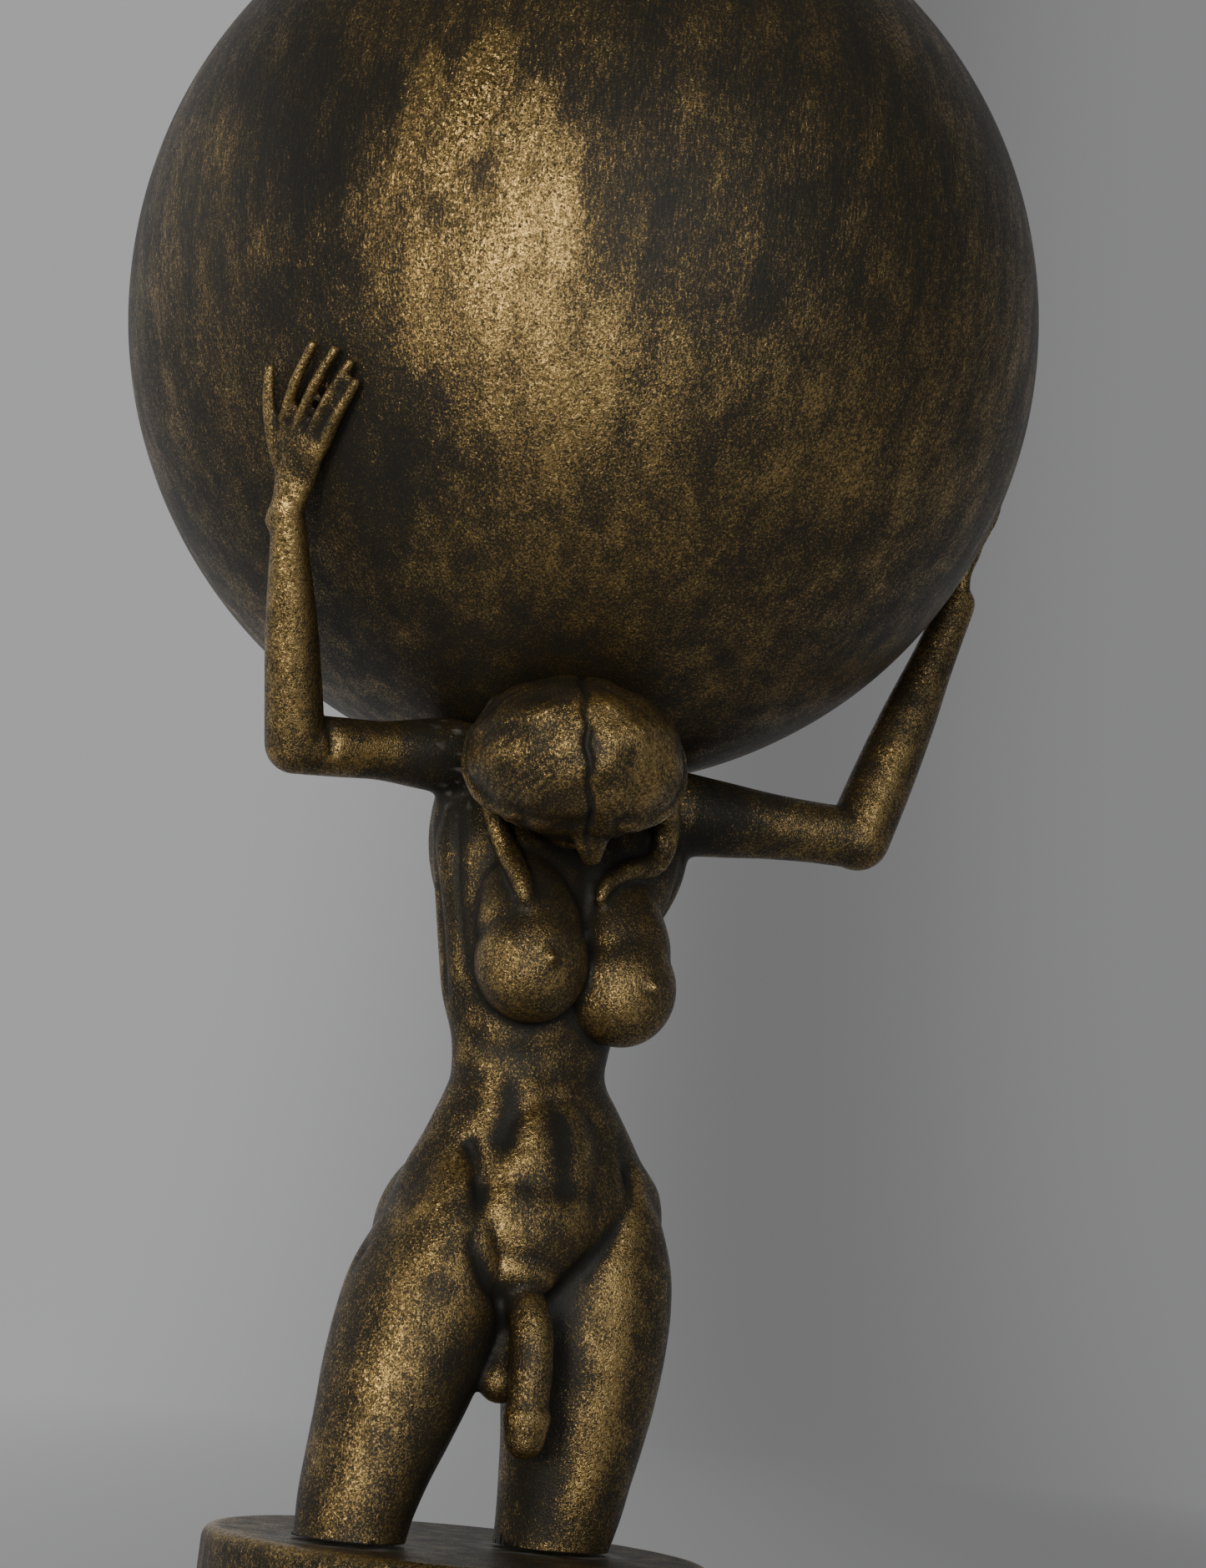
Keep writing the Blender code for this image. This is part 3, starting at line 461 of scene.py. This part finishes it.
def on_figure(points):
    """Figure units, counted from the middle of the base's top, as metres."""
    return np.asarray(points, float) * UNIT + np.array([0.0, 0.0, BASE_THICKNESS])


def placed(rows):
    """Rows of x, y, z, half width, half thickness in figure units, as metres."""
    rows = np.asarray(rows, float)
    return np.hstack([on_figure(rows[:, :3]), rows[:, 3:] * UNIT])


def limb(rows, across=(1.0, 0.0, 0.0), per=6, around=28, level=False):
    """Ellipses square to a path, or level: centre + side * half width * cos(turn) + front * half
    thickness * sin(turn). Each end goes on by its own radius as a quarter circle, to a point."""
    rows = spread(rows, per)
    centre, half = rows[:, :3], rows[:, 3:]
    along = np.gradient(centre, axis=0)
    along /= np.linalg.norm(along, axis=1)[:, None]
    if level:
        along[:] = (0.0, 0.0, 1.0)
    angle = np.radians(np.linspace(90, 15, 6))[:, None]
    reach = half.min(axis=1)
    centre = np.vstack([
        centre[0] - along[0] * reach[0] * np.sin(angle),
        centre,
        centre[-1] + along[-1] * reach[-1] * np.sin(angle[::-1]),
    ])
    half = np.vstack([half[0] * np.cos(angle), half, half[-1] * np.cos(angle[::-1])])
    along = np.vstack([along[:1]] * len(angle) + [along] + [along[-1:]] * len(angle))
    side = np.asarray(across, float) - along * (along @ np.asarray(across, float))[:, None]
    side /= np.linalg.norm(side, axis=1)[:, None]
    front = np.cross(along, side)
    turn = (np.arange(around) * 2 * np.pi / around)[None, :, None]
    return (
        centre[:, None]
        + side[:, None] * half[:, None, :1] * np.cos(turn)
        + front[:, None] * half[:, None, 1:] * np.sin(turn)
    )


def turned(degrees):
    """A turn about X, then Y, then Z, as a matrix."""
    (a, b, c), (p, q, r) = np.cos(np.radians(degrees)), np.sin(np.radians(degrees))
    about_x = np.array([[1, 0, 0], [0, a, -p], [0, p, a]])
    about_y = np.array([[b, 0, q], [0, 1, 0], [-q, 0, b]])
    about_z = np.array([[c, -r, 0], [r, c, 0], [0, 0, 1]])
    return about_z @ about_y @ about_x


def mass(centre, radii, turn=(0.0, 0.0, 0.0)):
    """An ellipsoid in figure units: radii * (sin(up) cos(round), sin(up) sin(round), -cos(up)),
    turned and moved to its centre."""
    up = np.linspace(0, np.pi, 25)[:, None]
    around = (np.arange(40) * 2 * np.pi / 40)[None]
    ball = np.stack([np.sin(up) * np.cos(around), np.sin(up) * np.sin(around),
                     -np.cos(up) + 0 * around], -1)
    return on_figure(np.asarray(centre) + (ball * np.asarray(radii)) @ turned(turn).T)


def hand_point(hand, side, along, sideways, lift):
    """A point over the globe, in figure units from the palm's middle: along the fingers, towards
    the thumb, and out from the globe. side is 1 for the right hand and -1 for the left."""
    front, up, turn = np.radians(hand)
    out = np.array([-np.sin(up) * np.sin(front), -np.sin(up) * np.cos(front), -np.cos(up)])
    rise = np.array([-np.cos(up) * np.sin(front), -np.cos(up) * np.cos(front), np.sin(up)])
    round_globe = np.array([-np.cos(front), np.sin(front), 0.0])
    fingers = rise * np.cos(turn) - round_globe * np.sin(turn)
    thumb = rise * np.sin(turn) + round_globe * np.cos(turn)
    over = GLOBE_RADIUS + GLUE_GAP
    away = out * over + (fingers * along + thumb * sideways) * UNIT
    point = away / np.linalg.norm(away) * (over + lift * UNIT) * np.array([side, 1.0, 1.0])
    return GLOBE_CENTRE + point


def torso():
    yield limb(placed([
        (1.2, -2.2, 19.0, 8.5, 5.8),
        (1.6, -2.2, 22.5, 11.5, 6.8),
        (2.0, -2.2, 25.3, 12.0, 6.8),
        (2.3, -2.1, 28.4, 11.3, 6.3),
        (1.9, -2.1, 30.8, 9.7, 5.7),
        (1.6, -2.2, 32.8, 8.6, 5.2),
        (1.25, -2.2, 34.8, 7.5, 4.8),
        (0.8, -2.2, 36.5, 6.8, 4.6),
        (0.6, -2.2, 39.0, 6.9, 4.9),
        (0.4, -2.2, 42.0, 7.8, 5.5),
        (0.5, -2.2, 45.0, 8.6, 5.9),
        (0.6, -2.2, 48.4, 9.4, 6.0),
        (1.3, -2.1, 51.8, 10.8, 5.8),
        (1.8, -1.9, 55.0, 11.8, 5.4),
        (2.2, -1.6, 58.2, 12.0, 4.9),
        (2.3, -1.4, 61.0, 10.4, 4.2),
    ]), around=48, level=True)
    yield mass((0.7, -4.7, 27.4), (5.8, 4.7, 8.8), (-6, 9, 0))
    yield mass((0.3, -4.9, 24.4), (6.3, 5.2, 5.4))
    yield mass((-0.6, -5.5, 20.9), (4.1, 3.9, 3.2))
    for side in (-1, 1):
        yield mass((1.2 + 4.9 * side, 0.9, 23.4), (6.0, 5.2, 7.2), (12, 0, 0))
        yield mass((1.6 + 7.0 * side, -0.6, 54.5), (4.0, 4.0, 8.0), (0, 10 * side, 0))
        yield mass((2.0 + 5.6 * side, 1.8, 53.5), (3.6, 2.2, 5.0), (0, -18 * side, 0))


def legs():
    yield limb(placed([
        (-11.5, -3.2, -2.0, 4.0, 4.3),
        (-11.0, -3.1, 0.2, 4.1, 4.4),
        (-10.6, -2.9, 3.0, 4.4, 4.8),
        (-9.8, -2.6, 6.0, 4.8, 5.3),
        (-8.9, -2.4, 9.0, 5.3, 5.9),
        (-8.1, -2.3, 12.0, 5.8, 6.4),
        (-7.2, -2.2, 15.4, 6.1, 6.8),
        (-6.5, -2.4, 19.2, 5.9, 6.9),
        (-6.0, -2.8, 23.0, 4.8, 6.1),
        (-5.7, -2.9, 25.6, 4.0, 5.0),
        (-5.5, -2.6, 28.0, 2.9, 3.6),
        (-5.4, -2.2, 29.4, 1.6, 2.0),
    ]), around=40)
    yield limb(placed([
        (6.6, -2.5, -2.0, 4.4, 4.4),
        (6.7, -2.5, 0.2, 4.5, 4.5),
        (7.1, -2.7, 3.6, 5.0, 5.0),
        (7.3, -2.8, 6.1, 5.3, 5.4),
        (7.5, -2.9, 8.7, 5.7, 5.8),
        (7.7, -2.9, 11.8, 6.2, 6.3),
        (7.8, -2.8, 15.0, 6.6, 6.8),
        (7.9, -2.7, 19.0, 6.8, 7.0),
        (7.9, -2.8, 23.0, 6.4, 6.5),
        (8.0, -3.2, 26.6, 5.0, 5.2),
        (8.4, -3.2, 29.0, 3.0, 3.6),
        (8.6, -2.8, 30.4, 1.5, 1.8),
    ]), around=40)


def chest():
    for x, tilt, drop in ((-3.2, -1, 0.0), (5.2, 1, 0.7)):
        yield limb(placed([
            (x + 0.4 * tilt, -4.6, 54.0, 1.9, 1.6),
            (x + 0.2 * tilt, -5.8, 51.0, 3.7, 2.8),
            (x, -6.9, 48.0, 4.5, 3.6),
            (x, -7.5, 46.2 - drop, 4.3, 3.8),
        ]))
        yield mass((x, -7.9, 44.6 - drop), (4.7, 4.2, 4.8))
        yield mass((x + 0.6 * tilt, -11.95, 44.4 - drop), (0.55, 0.6, 0.55))


def groin():
    yield limb(placed([
        (-0.8, -5.8, 19.8, 1.5, 1.5),
        (-0.8, -8.0, 18.4, 1.6, 1.6),
        (-0.8, -9.4, 16.6, 1.65, 1.65),
        (-0.8, -10.0, 13.6, 1.65, 1.65),
        (-0.8, -10.0, 11.0, 1.6, 1.6),
        (-0.8, -10.0, 10.2, 1.85, 1.85),
        (-0.8, -9.9, 8.6, 1.6, 1.6),
    ]))
    yield limb(placed([
        (-0.6, -5.2, 18.5, 1.9, 1.6),
        (-1.0, -5.9, 14.5, 1.6, 1.5),
        (-1.4, -6.4, 12.5, 1.75, 1.7),
    ]))


def arm(side, hand, shoulder, elbow, upper, fore):
    """The upper arm runs from shoulder to elbow and the forearm from there to the wrist of the
    hand on the globe; upper and fore are their half widths on the way."""
    wrist = hand_point(hand, side, -5.6, -0.8, 2.0)
    start, bend = on_figure(shoulder), on_figure(elbow)
    for one, other, half in ((start, bend, upper), (bend, wrist, fore)):
        share = np.linspace(0, 1, len(half))[:, None]
        half = np.asarray(half)[:, None] * UNIT
        yield limb(np.hstack([one + (other - one) * share, half, half]), (0, 1, 0))


def hand_forms(side, hand):
    thumb_side = hand_point(hand, side, 0, 1, 1) - hand_point(hand, side, 0, 0, 1)

    def over_globe(points, around=16):
        rows = [(*hand_point(hand, side, a, s, lift), half * UNIT, thick * UNIT)
                for a, s, lift, half, thick in points]
        return limb(rows, thumb_side, per=4, around=around)

    yield over_globe([
        (-6.6, -0.6, 2.2, 1.4, 1.3),
        (-5.0, -0.6, 1.7, 1.4, 1.1),
        (-3.0, -0.2, 0.9, 1.9, 0.9),
        (-1.0, 0.0, 0.8, 2.3, 0.8),
        (-0.2, 0.1, 0.7, 2.3, 0.7),
    ], 28)
    for root, tip in (
        ((0.2, 1.95), (6.5, 1.5)),
        ((0.5, 0.65), (7.0, -0.45)),
        ((0.3, -0.65), (6.6, -1.95)),
        ((-0.3, -1.85), (5.5, -2.9)),
    ):
        middle = (np.add(root, tip) / 2).tolist()
        yield over_globe([(*root, 0.6, 0.5, 0.6), (*middle, 0.75, 0.45, 0.55), (*tip, 0.4, 0.4, 0.45)])
    yield over_globe([
        (-3.6, 0.6, 0.9, 0.9, 0.8),
        (-1.6, 2.2, 0.8, 0.75, 0.7),
        (0.8, 3.6, 0.7, 0.55, 0.55),
        (3.1, 4.6, 0.4, 0.42, 0.42),
    ])


def on_head(right, crown, up):
    """A point in figure units, given from the middle of the head towards the figure's left, out
    through the crown, and up. The bowed head is turned, so these are its own directions."""
    turn = np.radians(HEAD_TURN)
    side = np.array([np.cos(turn), np.sin(turn), 0.0])
    out = np.array([np.sin(turn), -np.cos(turn), 0.0])
    return np.array(HEAD_MIDDLE) + side * right + out * crown + np.array([0.0, 0.0, up])


def head():
    """The neck comes forward from the shoulders; the crown faces front and the face looks down."""
    facing = (0, 0, HEAD_TURN)
    yield limb(placed([
        (1.6, -1.2, 59.0, 4.4, 4.0),
        (-0.4, -5.0, 60.0, 3.6, 3.4),
        (-2.2, -9.0, 60.0, 3.4, 3.2),
        (-3.2, -11.5, 60.0, 3.6, 3.4),
    ]))
    yield mass(HEAD_MIDDLE, HEAD_HALF, facing)
    yield mass(on_head(0.2, -3.4, -1.8), (5.0, 5.4, 4.0), facing)
    yield mass(on_head(0.2, -7.4, -3.6), (1.7, 1.3, 1.5), facing)
    yield mass(on_head(0.2, 0.2, -5.1), (3.6, 1.2, 1.1), facing)
    yield limb(placed([
        (*on_head(1.2, 0.4, -5.2), 1.4, 1.0),
        (*on_head(1.8, -1.0, -6.3), 1.3, 0.9),
        (*on_head(2.0, -2.2, -7.1), 0.9, 0.8),
    ]), around=16)
    yield mass(on_head(0.3, -4.4, -5.6), (1.5, 0.8, 0.6), facing)


def hair():
    """A roll of hair over each temple, and the locks that fall from it on to the chest."""
    for side in (-1, 1):
        yield limb(placed([
            (*on_head(6.2 * side, 0.4, 3.2), 1.3, 1.2),
            (*on_head(7.6 * side, -1.2, 1.0), 1.2, 1.2),
            (*on_head(7.7 * side, -1.4, -1.3), 1.2, 1.2),
            (*on_head(6.3 * side, -0.4, -3.5), 1.2, 1.1),
            (*on_head(4.2 * side, 1.2, -4.8), 1.0, 1.0),
        ]), around=20)
    yield limb(placed([
        (-9.0, -9.0, 58.4, 1.3, 1.1),
        (-7.8, -7.2, 56.8, 1.0, 0.9),
        (-6.9, -6.6, 55.2, 0.9, 0.8),
        (-6.1, -7.5, 53.0, 1.0, 0.9),
        (-5.8, -9.4, 50.7, 0.95, 0.8),
        (-5.7, -10.4, 49.0, 0.7, 0.6),
    ]), around=20)
    yield limb(placed([
        (6.4, -10.0, 60.0, 1.4, 1.2),
        (8.4, -7.6, 58.4, 1.2, 1.0),
        (8.8, -6.8, 56.4, 1.1, 0.9),
        (7.6, -7.2, 54.7, 1.0, 0.8),
        (5.4, -7.6, 53.8, 0.9, 0.8),
        (3.6, -8.2, 52.8, 0.8, 0.7),
        (2.4, -8.6, 51.6, 0.7, 0.7),
        (1.9, -8.9, 50.4, 0.5, 0.5),
    ]), around=20)


def apply_modifiers(piece):
    """The piece's mesh becomes the one that its modifiers make, and they go."""
    graph = bpy.context.evaluated_depsgraph_get()
    mesh = bpy.data.meshes.new_from_object(piece.evaluated_get(graph))
    piece.modifiers.clear()
    piece.data = mesh


def read_points(mesh, what="co"):
    values = np.empty(len(mesh.vertices) * 3)
    mesh.vertices.foreach_get(what, values)
    return values.reshape(-1, 3)


def soften_joins(piece):
    """The skin is smoothed most at the middle of each join and not at all past its reach."""
    points = read_points(piece.data)
    weight = np.zeros(len(points))
    for x, y, z, reach in SOFT_JOINS:
        away = np.linalg.norm(points - on_figure((x, y, z)), axis=1)
        weight = np.maximum(weight, np.clip(2 - 2 * away / (reach * UNIT), 0, 1))
    joins = piece.vertex_groups.new(name="joins")
    for step in range(1, 11):
        share = np.flatnonzero(np.ceil(weight * 10) == step)
        joins.add(share.tolist(), step / 10, "REPLACE")
    smooth = piece.modifiers.new("soft joins", "SMOOTH")
    smooth.factor = 0.5
    smooth.iterations = 50
    smooth.vertex_group = "joins"
    apply_modifiers(piece)


def near_path(points, width, path):
    """1 on a path and fading away from it: exp(-(distance to path / width) ** 2)."""
    path = on_figure(spread(path, 4))
    nearest = np.full(len(points), np.inf)
    for start, end in zip(path, path[1:]):
        step = end - start
        share = np.clip((points - start) @ step / (step @ step), 0, 1)
        nearest = np.minimum(nearest, np.linalg.norm(points - start - share[:, None] * step, axis=1))
    return np.exp(-((nearest / (width * UNIT)) ** 2))


def carve(points, normals, width, depth, path):
    """A line pushed in along the skin's normals, deepest on its path."""
    return points - normals * (depth * UNIT * near_path(points, width, path))[:, None]


def comb_hair(points, normals):
    """A parting down the crown, and waves that sweep from it to the sides and down."""
    turn = np.radians(HEAD_TURN)
    side = np.array([np.cos(turn), np.sin(turn), 0.0])
    out = np.array([np.sin(turn), -np.cos(turn), 0.0])
    local = (points - on_figure(HEAD_MIDDLE)) / UNIT
    right, crown, up = local @ side, local @ out, local[:, 2]
    reach = np.sqrt((right / HEAD_HALF[0]) ** 2 + (crown / HEAD_HALF[1]) ** 2 + (up / HEAD_HALF[2]) ** 2)
    on_hair = np.clip((1.25 - np.abs(reach - 1)) * 4 - 4, 0, 1) * np.clip((crown + 3.5) / 2, 0, 1)
    sweep = up + 0.45 * np.abs(right) + 0.03 * right**2 + 0.35 * waves(local, 4.0, 21)
    strands = HAIR_DEPTH * np.cos(2 * np.pi * sweep / HAIR_WAVE) * (0.6 + 0.4 * waves(local, 3.0, 22))
    lumps = 0.12 * waves(local, 3.6, 23)
    off_parting = right - 0.15 * (4 - up) - 0.15 * np.sin(2.2 * up)
    parting = PARTING_DEPTH * np.exp(-((off_parting / PARTING_WIDTH) ** 2))
    depth = (strands * np.clip(np.abs(right) / 1.5, 0, 1) + lumps + parting) * on_hair
    return points - normals * (depth * UNIT)[:, None]


def press_on_globe(points):
    """Points nearer to the globe than the glue gap move straight out to it."""
    away = points - GLOBE_CENTRE
    distance = np.linalg.norm(away, axis=1)[:, None]
    nearest = GLOBE_RADIUS + GLUE_GAP
    return GLOBE_CENTRE + away * np.maximum(distance, nearest) / distance


def raised(mesh, rounds):
    """How far each point stands out from its surroundings, in metres: its height over the mean of
    its neighbours, taken this many rounds wide. Hollows are below 0."""
    points, normals = read_points(mesh), read_points(mesh, "normal")
    ends = np.empty(len(mesh.edges) * 2, np.int64)
    mesh.edges.foreach_get("vertices", ends)
    one, other = ends.reshape(-1, 2).T
    many = np.bincount(ends, minlength=len(points))[:, None]
    mean = points
    for _ in range(rounds):
        total = np.stack([
            np.bincount(one, mean[other, k], len(points)) + np.bincount(other, mean[one, k], len(points))
            for k in range(3)
        ], 1)
        mean = (mean + total / many) / 2
    return ((points - mean) * normals).sum(1)


def drop_specks(piece):
    """Specks that the voxel skin leaves inside the body go. Each point takes the lowest number
    among itself and its neighbours until nothing changes, and the commonest number is the body."""
    mesh = piece.data
    ends = np.empty(len(mesh.edges) * 2, np.int64)
    mesh.edges.foreach_get("vertices", ends)
    one, other = ends.reshape(-1, 2).T
    shell = np.arange(len(mesh.vertices))
    settled = False
    while not settled:
        lowest = shell.copy()
        np.minimum.at(lowest, one, shell[other])
        np.minimum.at(lowest, other, shell[one])
        lowest = lowest[lowest]
        settled = (lowest == shell).all()
        shell = lowest
    body = bmesh.new()
    body.from_mesh(mesh)
    body.verts.ensure_lookup_table()
    specks = [body.verts[i] for i in np.flatnonzero(shell != np.bincount(shell).argmax())]
    bmesh.ops.delete(body, geom=specks, context="VERTS")
    body.to_mesh(mesh)
    body.free()


forms = [
    *torso(), *legs(), *chest(), *groin(), *head(), *hair(),
    *arm(1, RIGHT_HAND, (-8.4, -2.2, 61.4), (-23.3, -2.5, 59.1),
         (3.4, 2.9, 2.4, 2.4, 2.4), (2.4, 2.25, 2.05, 1.65, 1.25)),
    *hand_forms(1, RIGHT_HAND),
    *arm(-1, LEFT_HAND, (12.9, -2.4, 61.0), (28.8, -6.9, 61.4),
         (3.7, 3.3, 2.9, 2.7, 2.7), (2.9, 2.8, 2.5, 2.0, 1.7)),
    *hand_forms(-1, LEFT_HAND),
]
starts = np.cumsum([0] + [form.shape[0] * form.shape[1] for form in forms])
figure = new_piece(
    "figure_casting",
    np.vstack([form.reshape(-1, 3) for form in forms]),
    np.vstack([grid_faces(*form.shape[:2], True) + start for form, start in zip(forms, starts)]),
    gold_on_black("figure: gold dry-brushed on black lacquer", (0.0, 0.3, 0.0), (1.0, 1.0, 0.7)),
)
weld(figure)
skin = figure.modifiers.new("one skin", "REMESH")
skin.mode = "VOXEL"
skin.voxel_size = SKIN_CELL
smooth = figure.modifiers.new("smooth skin", "SMOOTH")
smooth.factor = 0.5
smooth.iterations = 3
apply_modifiers(figure)
soften_joins(figure)
points, normals = read_points(figure.data), read_points(figure.data, "normal")
for width, depth, *path in FRONT_LINES + FLANK_LINES + BACK_LINES:
    points = carve(points, normals, width, depth, path)
for width, depth, *path in FLANK_LINES:
    points = carve(points, normals, width, depth, [(2 * FLANK_MIRROR - x, y, z) for x, y, z in path])
points = press_on_globe(comb_hair(points, normals))
points[:, 2] = np.maximum(points[:, 2], FIGURE_FOOT)
figure.data.vertices.foreach_set("co", points.ravel())
figure.data.update()
# The brush takes ridges and misses hollows, fine ones and broad ones, and misses the lowest 3 mm.
fine = np.clip(raised(figure.data, 6) / (0.03 * MM), -1.5, 1)
broad = np.clip(raised(figure.data, 60) / (0.35 * MM), -1.5, 1)
amount = 0.38 + 0.12 * fine + 0.30 * broad
amount += 0.06 * waves(points / MM, 3.0, 41)
# The strokes lay on gold, partly as painted highlight, and black, partly as painted shade.
for width, more, *path in GOLD_AND_PAINTED_LIGHT_STROKES:
    amount += more * near_path(points, width, path)
above_base = (points[:, 2] - FIGURE_FOOT) / UNIT
keep(figure, "gold", amount - 0.6 * np.clip(1 - above_base / (3.0 * MM), 0, 1))
# Pale specks where the right arm meets the body.
speck = near_path(points, 2.6, ((-8.6, -6.2, 62.5), (-8.4, -6.5, 60.5), (-8.0, -6.4, 58.5)))
keep(figure, "residue", np.clip(speck * 4 * (waves(points / MM, 1.1, 51) - 0.9), 0, 1))
thin = figure.modifiers.new("thinned where flat", "DECIMATE")
thin.ratio = FIGURE_TRIANGLES / (2 * len(figure.data.polygons))
apply_modifiers(figure)
drop_specks(figure)
figure.data.shade_smooth()
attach(figure, "root")
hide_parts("figure")

# Studio.
# A grey sweep of matt paper: flat under the statue, curved up behind it, square to the camera's
# heading. Its own glow is painted light, lightest on the left where the lamps stand and darker to the
# right. Not part of the object.

CAMERA_HEADING = 30.23
SWEEP_BEND = 0.35
bend = np.linspace(0.1, np.pi / 2, 12)
sweep_depth = np.concatenate([
    np.linspace(-1.2, 0.55, 8), 0.55 + SWEEP_BEND * np.sin(bend), np.full(4, 0.55 + SWEEP_BEND),
])
sweep_rise = np.concatenate([
    np.zeros(8), SWEEP_BEND * (1 - np.cos(bend)), np.linspace(0.6, 1.8, 4),
])
sideways = np.linspace(-1.6, 1.6, 9)
heading = np.radians(CAMERA_HEADING)
ahead = np.array([np.sin(heading), np.cos(heading), 0.0])
right = np.array([np.cos(heading), -np.sin(heading), 0.0])
paper = (
    sweep_depth[:, None, None] * ahead
    + sideways[None, :, None] * right
    + np.array([0.0, 0.0, 1.0]) * sweep_rise[:, None, None]
)
pale = bpy.data.materials.new("grey backdrop paper glowing with painted light")
pale.use_nodes = True
tree = pale.node_tree
shader = tree.nodes["Principled BSDF"]
shader.inputs["Roughness"].default_value = 0.9
shader.inputs["Specular IOR Level"].default_value = 0.2
spot = add(tree, "ShaderNodeTexCoord").outputs["Object"]
across = add(tree, "ShaderNodeVectorMath", {"operation": "DOT_PRODUCT"}, {
    0: spot, 1: tuple(right),
}).outputs["Value"]
shade = add(tree, "ShaderNodeMapRange", links={
    "Value": across, "From Min": -0.3, "From Max": 0.3,
}).outputs["Result"]
tone = add(tree, "ShaderNodeValToRGB", links={"Fac": shade})
ramp = tone.color_ramp
ramp.interpolation = "EASE"
ramp.elements[0].position, ramp.elements[0].color = 0.2, linear("#a8a8a9")
ramp.elements[1].position, ramp.elements[1].color = 0.66, linear("#717172")
side_tone = ramp.elements.new(0.97)
side_tone.color = linear("#858586")
shader.inputs["Base Color"].default_value = linear("#262626")
# The paper's glow is painted light, graded from light on the left to dark on the right.
shader.inputs["Emission Strength"].default_value = 1.0
tree.links.new(tone.outputs["Color"], shader.inputs["Emission Color"])
floor = new_piece("backdrop_sweep", paper, grid_faces(*paper.shape[:2], False), pale)

# Lights.
# A small soft key low on the camera's left, a weaker wide fill beside the camera, a wash on the
# paper behind, and a dim grey sky all round.


def soft_light(name, place, aim, size, power, colour):
    """A square area light of this size, in metres, turned to its aim."""
    lamp = bpy.data.lights.new(name, "AREA")
    lamp.size = size
    lamp.energy = power
    lamp.color = linear(colour)[:3]
    light = bpy.data.objects.new(name, lamp)
    light.location = place
    light.rotation_euler = (Vector(place) - Vector(aim)).to_track_quat("Z", "Y").to_euler()
    bpy.context.scene.collection.objects.link(light)


middle = np.array([0.0, 0.0, 0.09])
upwards = np.array([0.0, 0.0, 1.0])
soft_light("key", np.array([-0.365, -0.32, 0.055]), middle, 0.1, 0.95, "#fff3dc")
beside_camera = middle - 0.45 * ahead + 0.12 * right + 0.02 * upwards
soft_light("front_fill", beside_camera, middle, 0.25, 0.85, "#ffffff")
far_left = middle + 0.15 * ahead - 0.8 * right + 0.25 * upwards
soft_light("backdrop_wash", far_left, middle + 1.0 * ahead, 0.5, 1.5, "#ffffff")
world = bpy.data.worlds.new("studio")
bpy.context.scene.world = world
world.use_nodes = True
world.node_tree.nodes["Background"].inputs["Color"].default_value = linear("#b4b7bd")
world.node_tree.nodes["Background"].inputs["Strength"].default_value = 0.22

# Camera.
# Close in front, to the figure's right, a little above the base, looking up with a slight roll.

CAMERA_PLACE = np.array([-86.7, -159.68, 24.4]) * MM
CAMERA_PITCH = 14.65
CAMERA_ROLL = 5.52
turn, pitch, roll = np.radians([CAMERA_HEADING, CAMERA_PITCH, CAMERA_ROLL])
look = np.array([np.sin(turn) * np.cos(pitch), np.cos(turn) * np.cos(pitch), np.sin(pitch)])
level = np.array([np.cos(turn), -np.sin(turn), 0.0])
upright = np.cross(level, look)
right_way = level * np.cos(roll) + upright * np.sin(roll)
up_way = upright * np.cos(roll) - level * np.sin(roll)
eye = bpy.data.objects.new("camera", bpy.data.cameras.new("camera"))
eye.data.sensor_fit = "VERTICAL"
eye.data.sensor_height = 36.0
eye.data.lens = 50.8
eye.data.clip_start = 0.01
aimed = Matrix(np.stack([right_way, up_way, -look], 1)).to_4x4()
eye.matrix_world = Matrix.Translation(CAMERA_PLACE) @ aimed
bpy.context.scene.collection.objects.link(eye)
bpy.context.scene.camera = eye
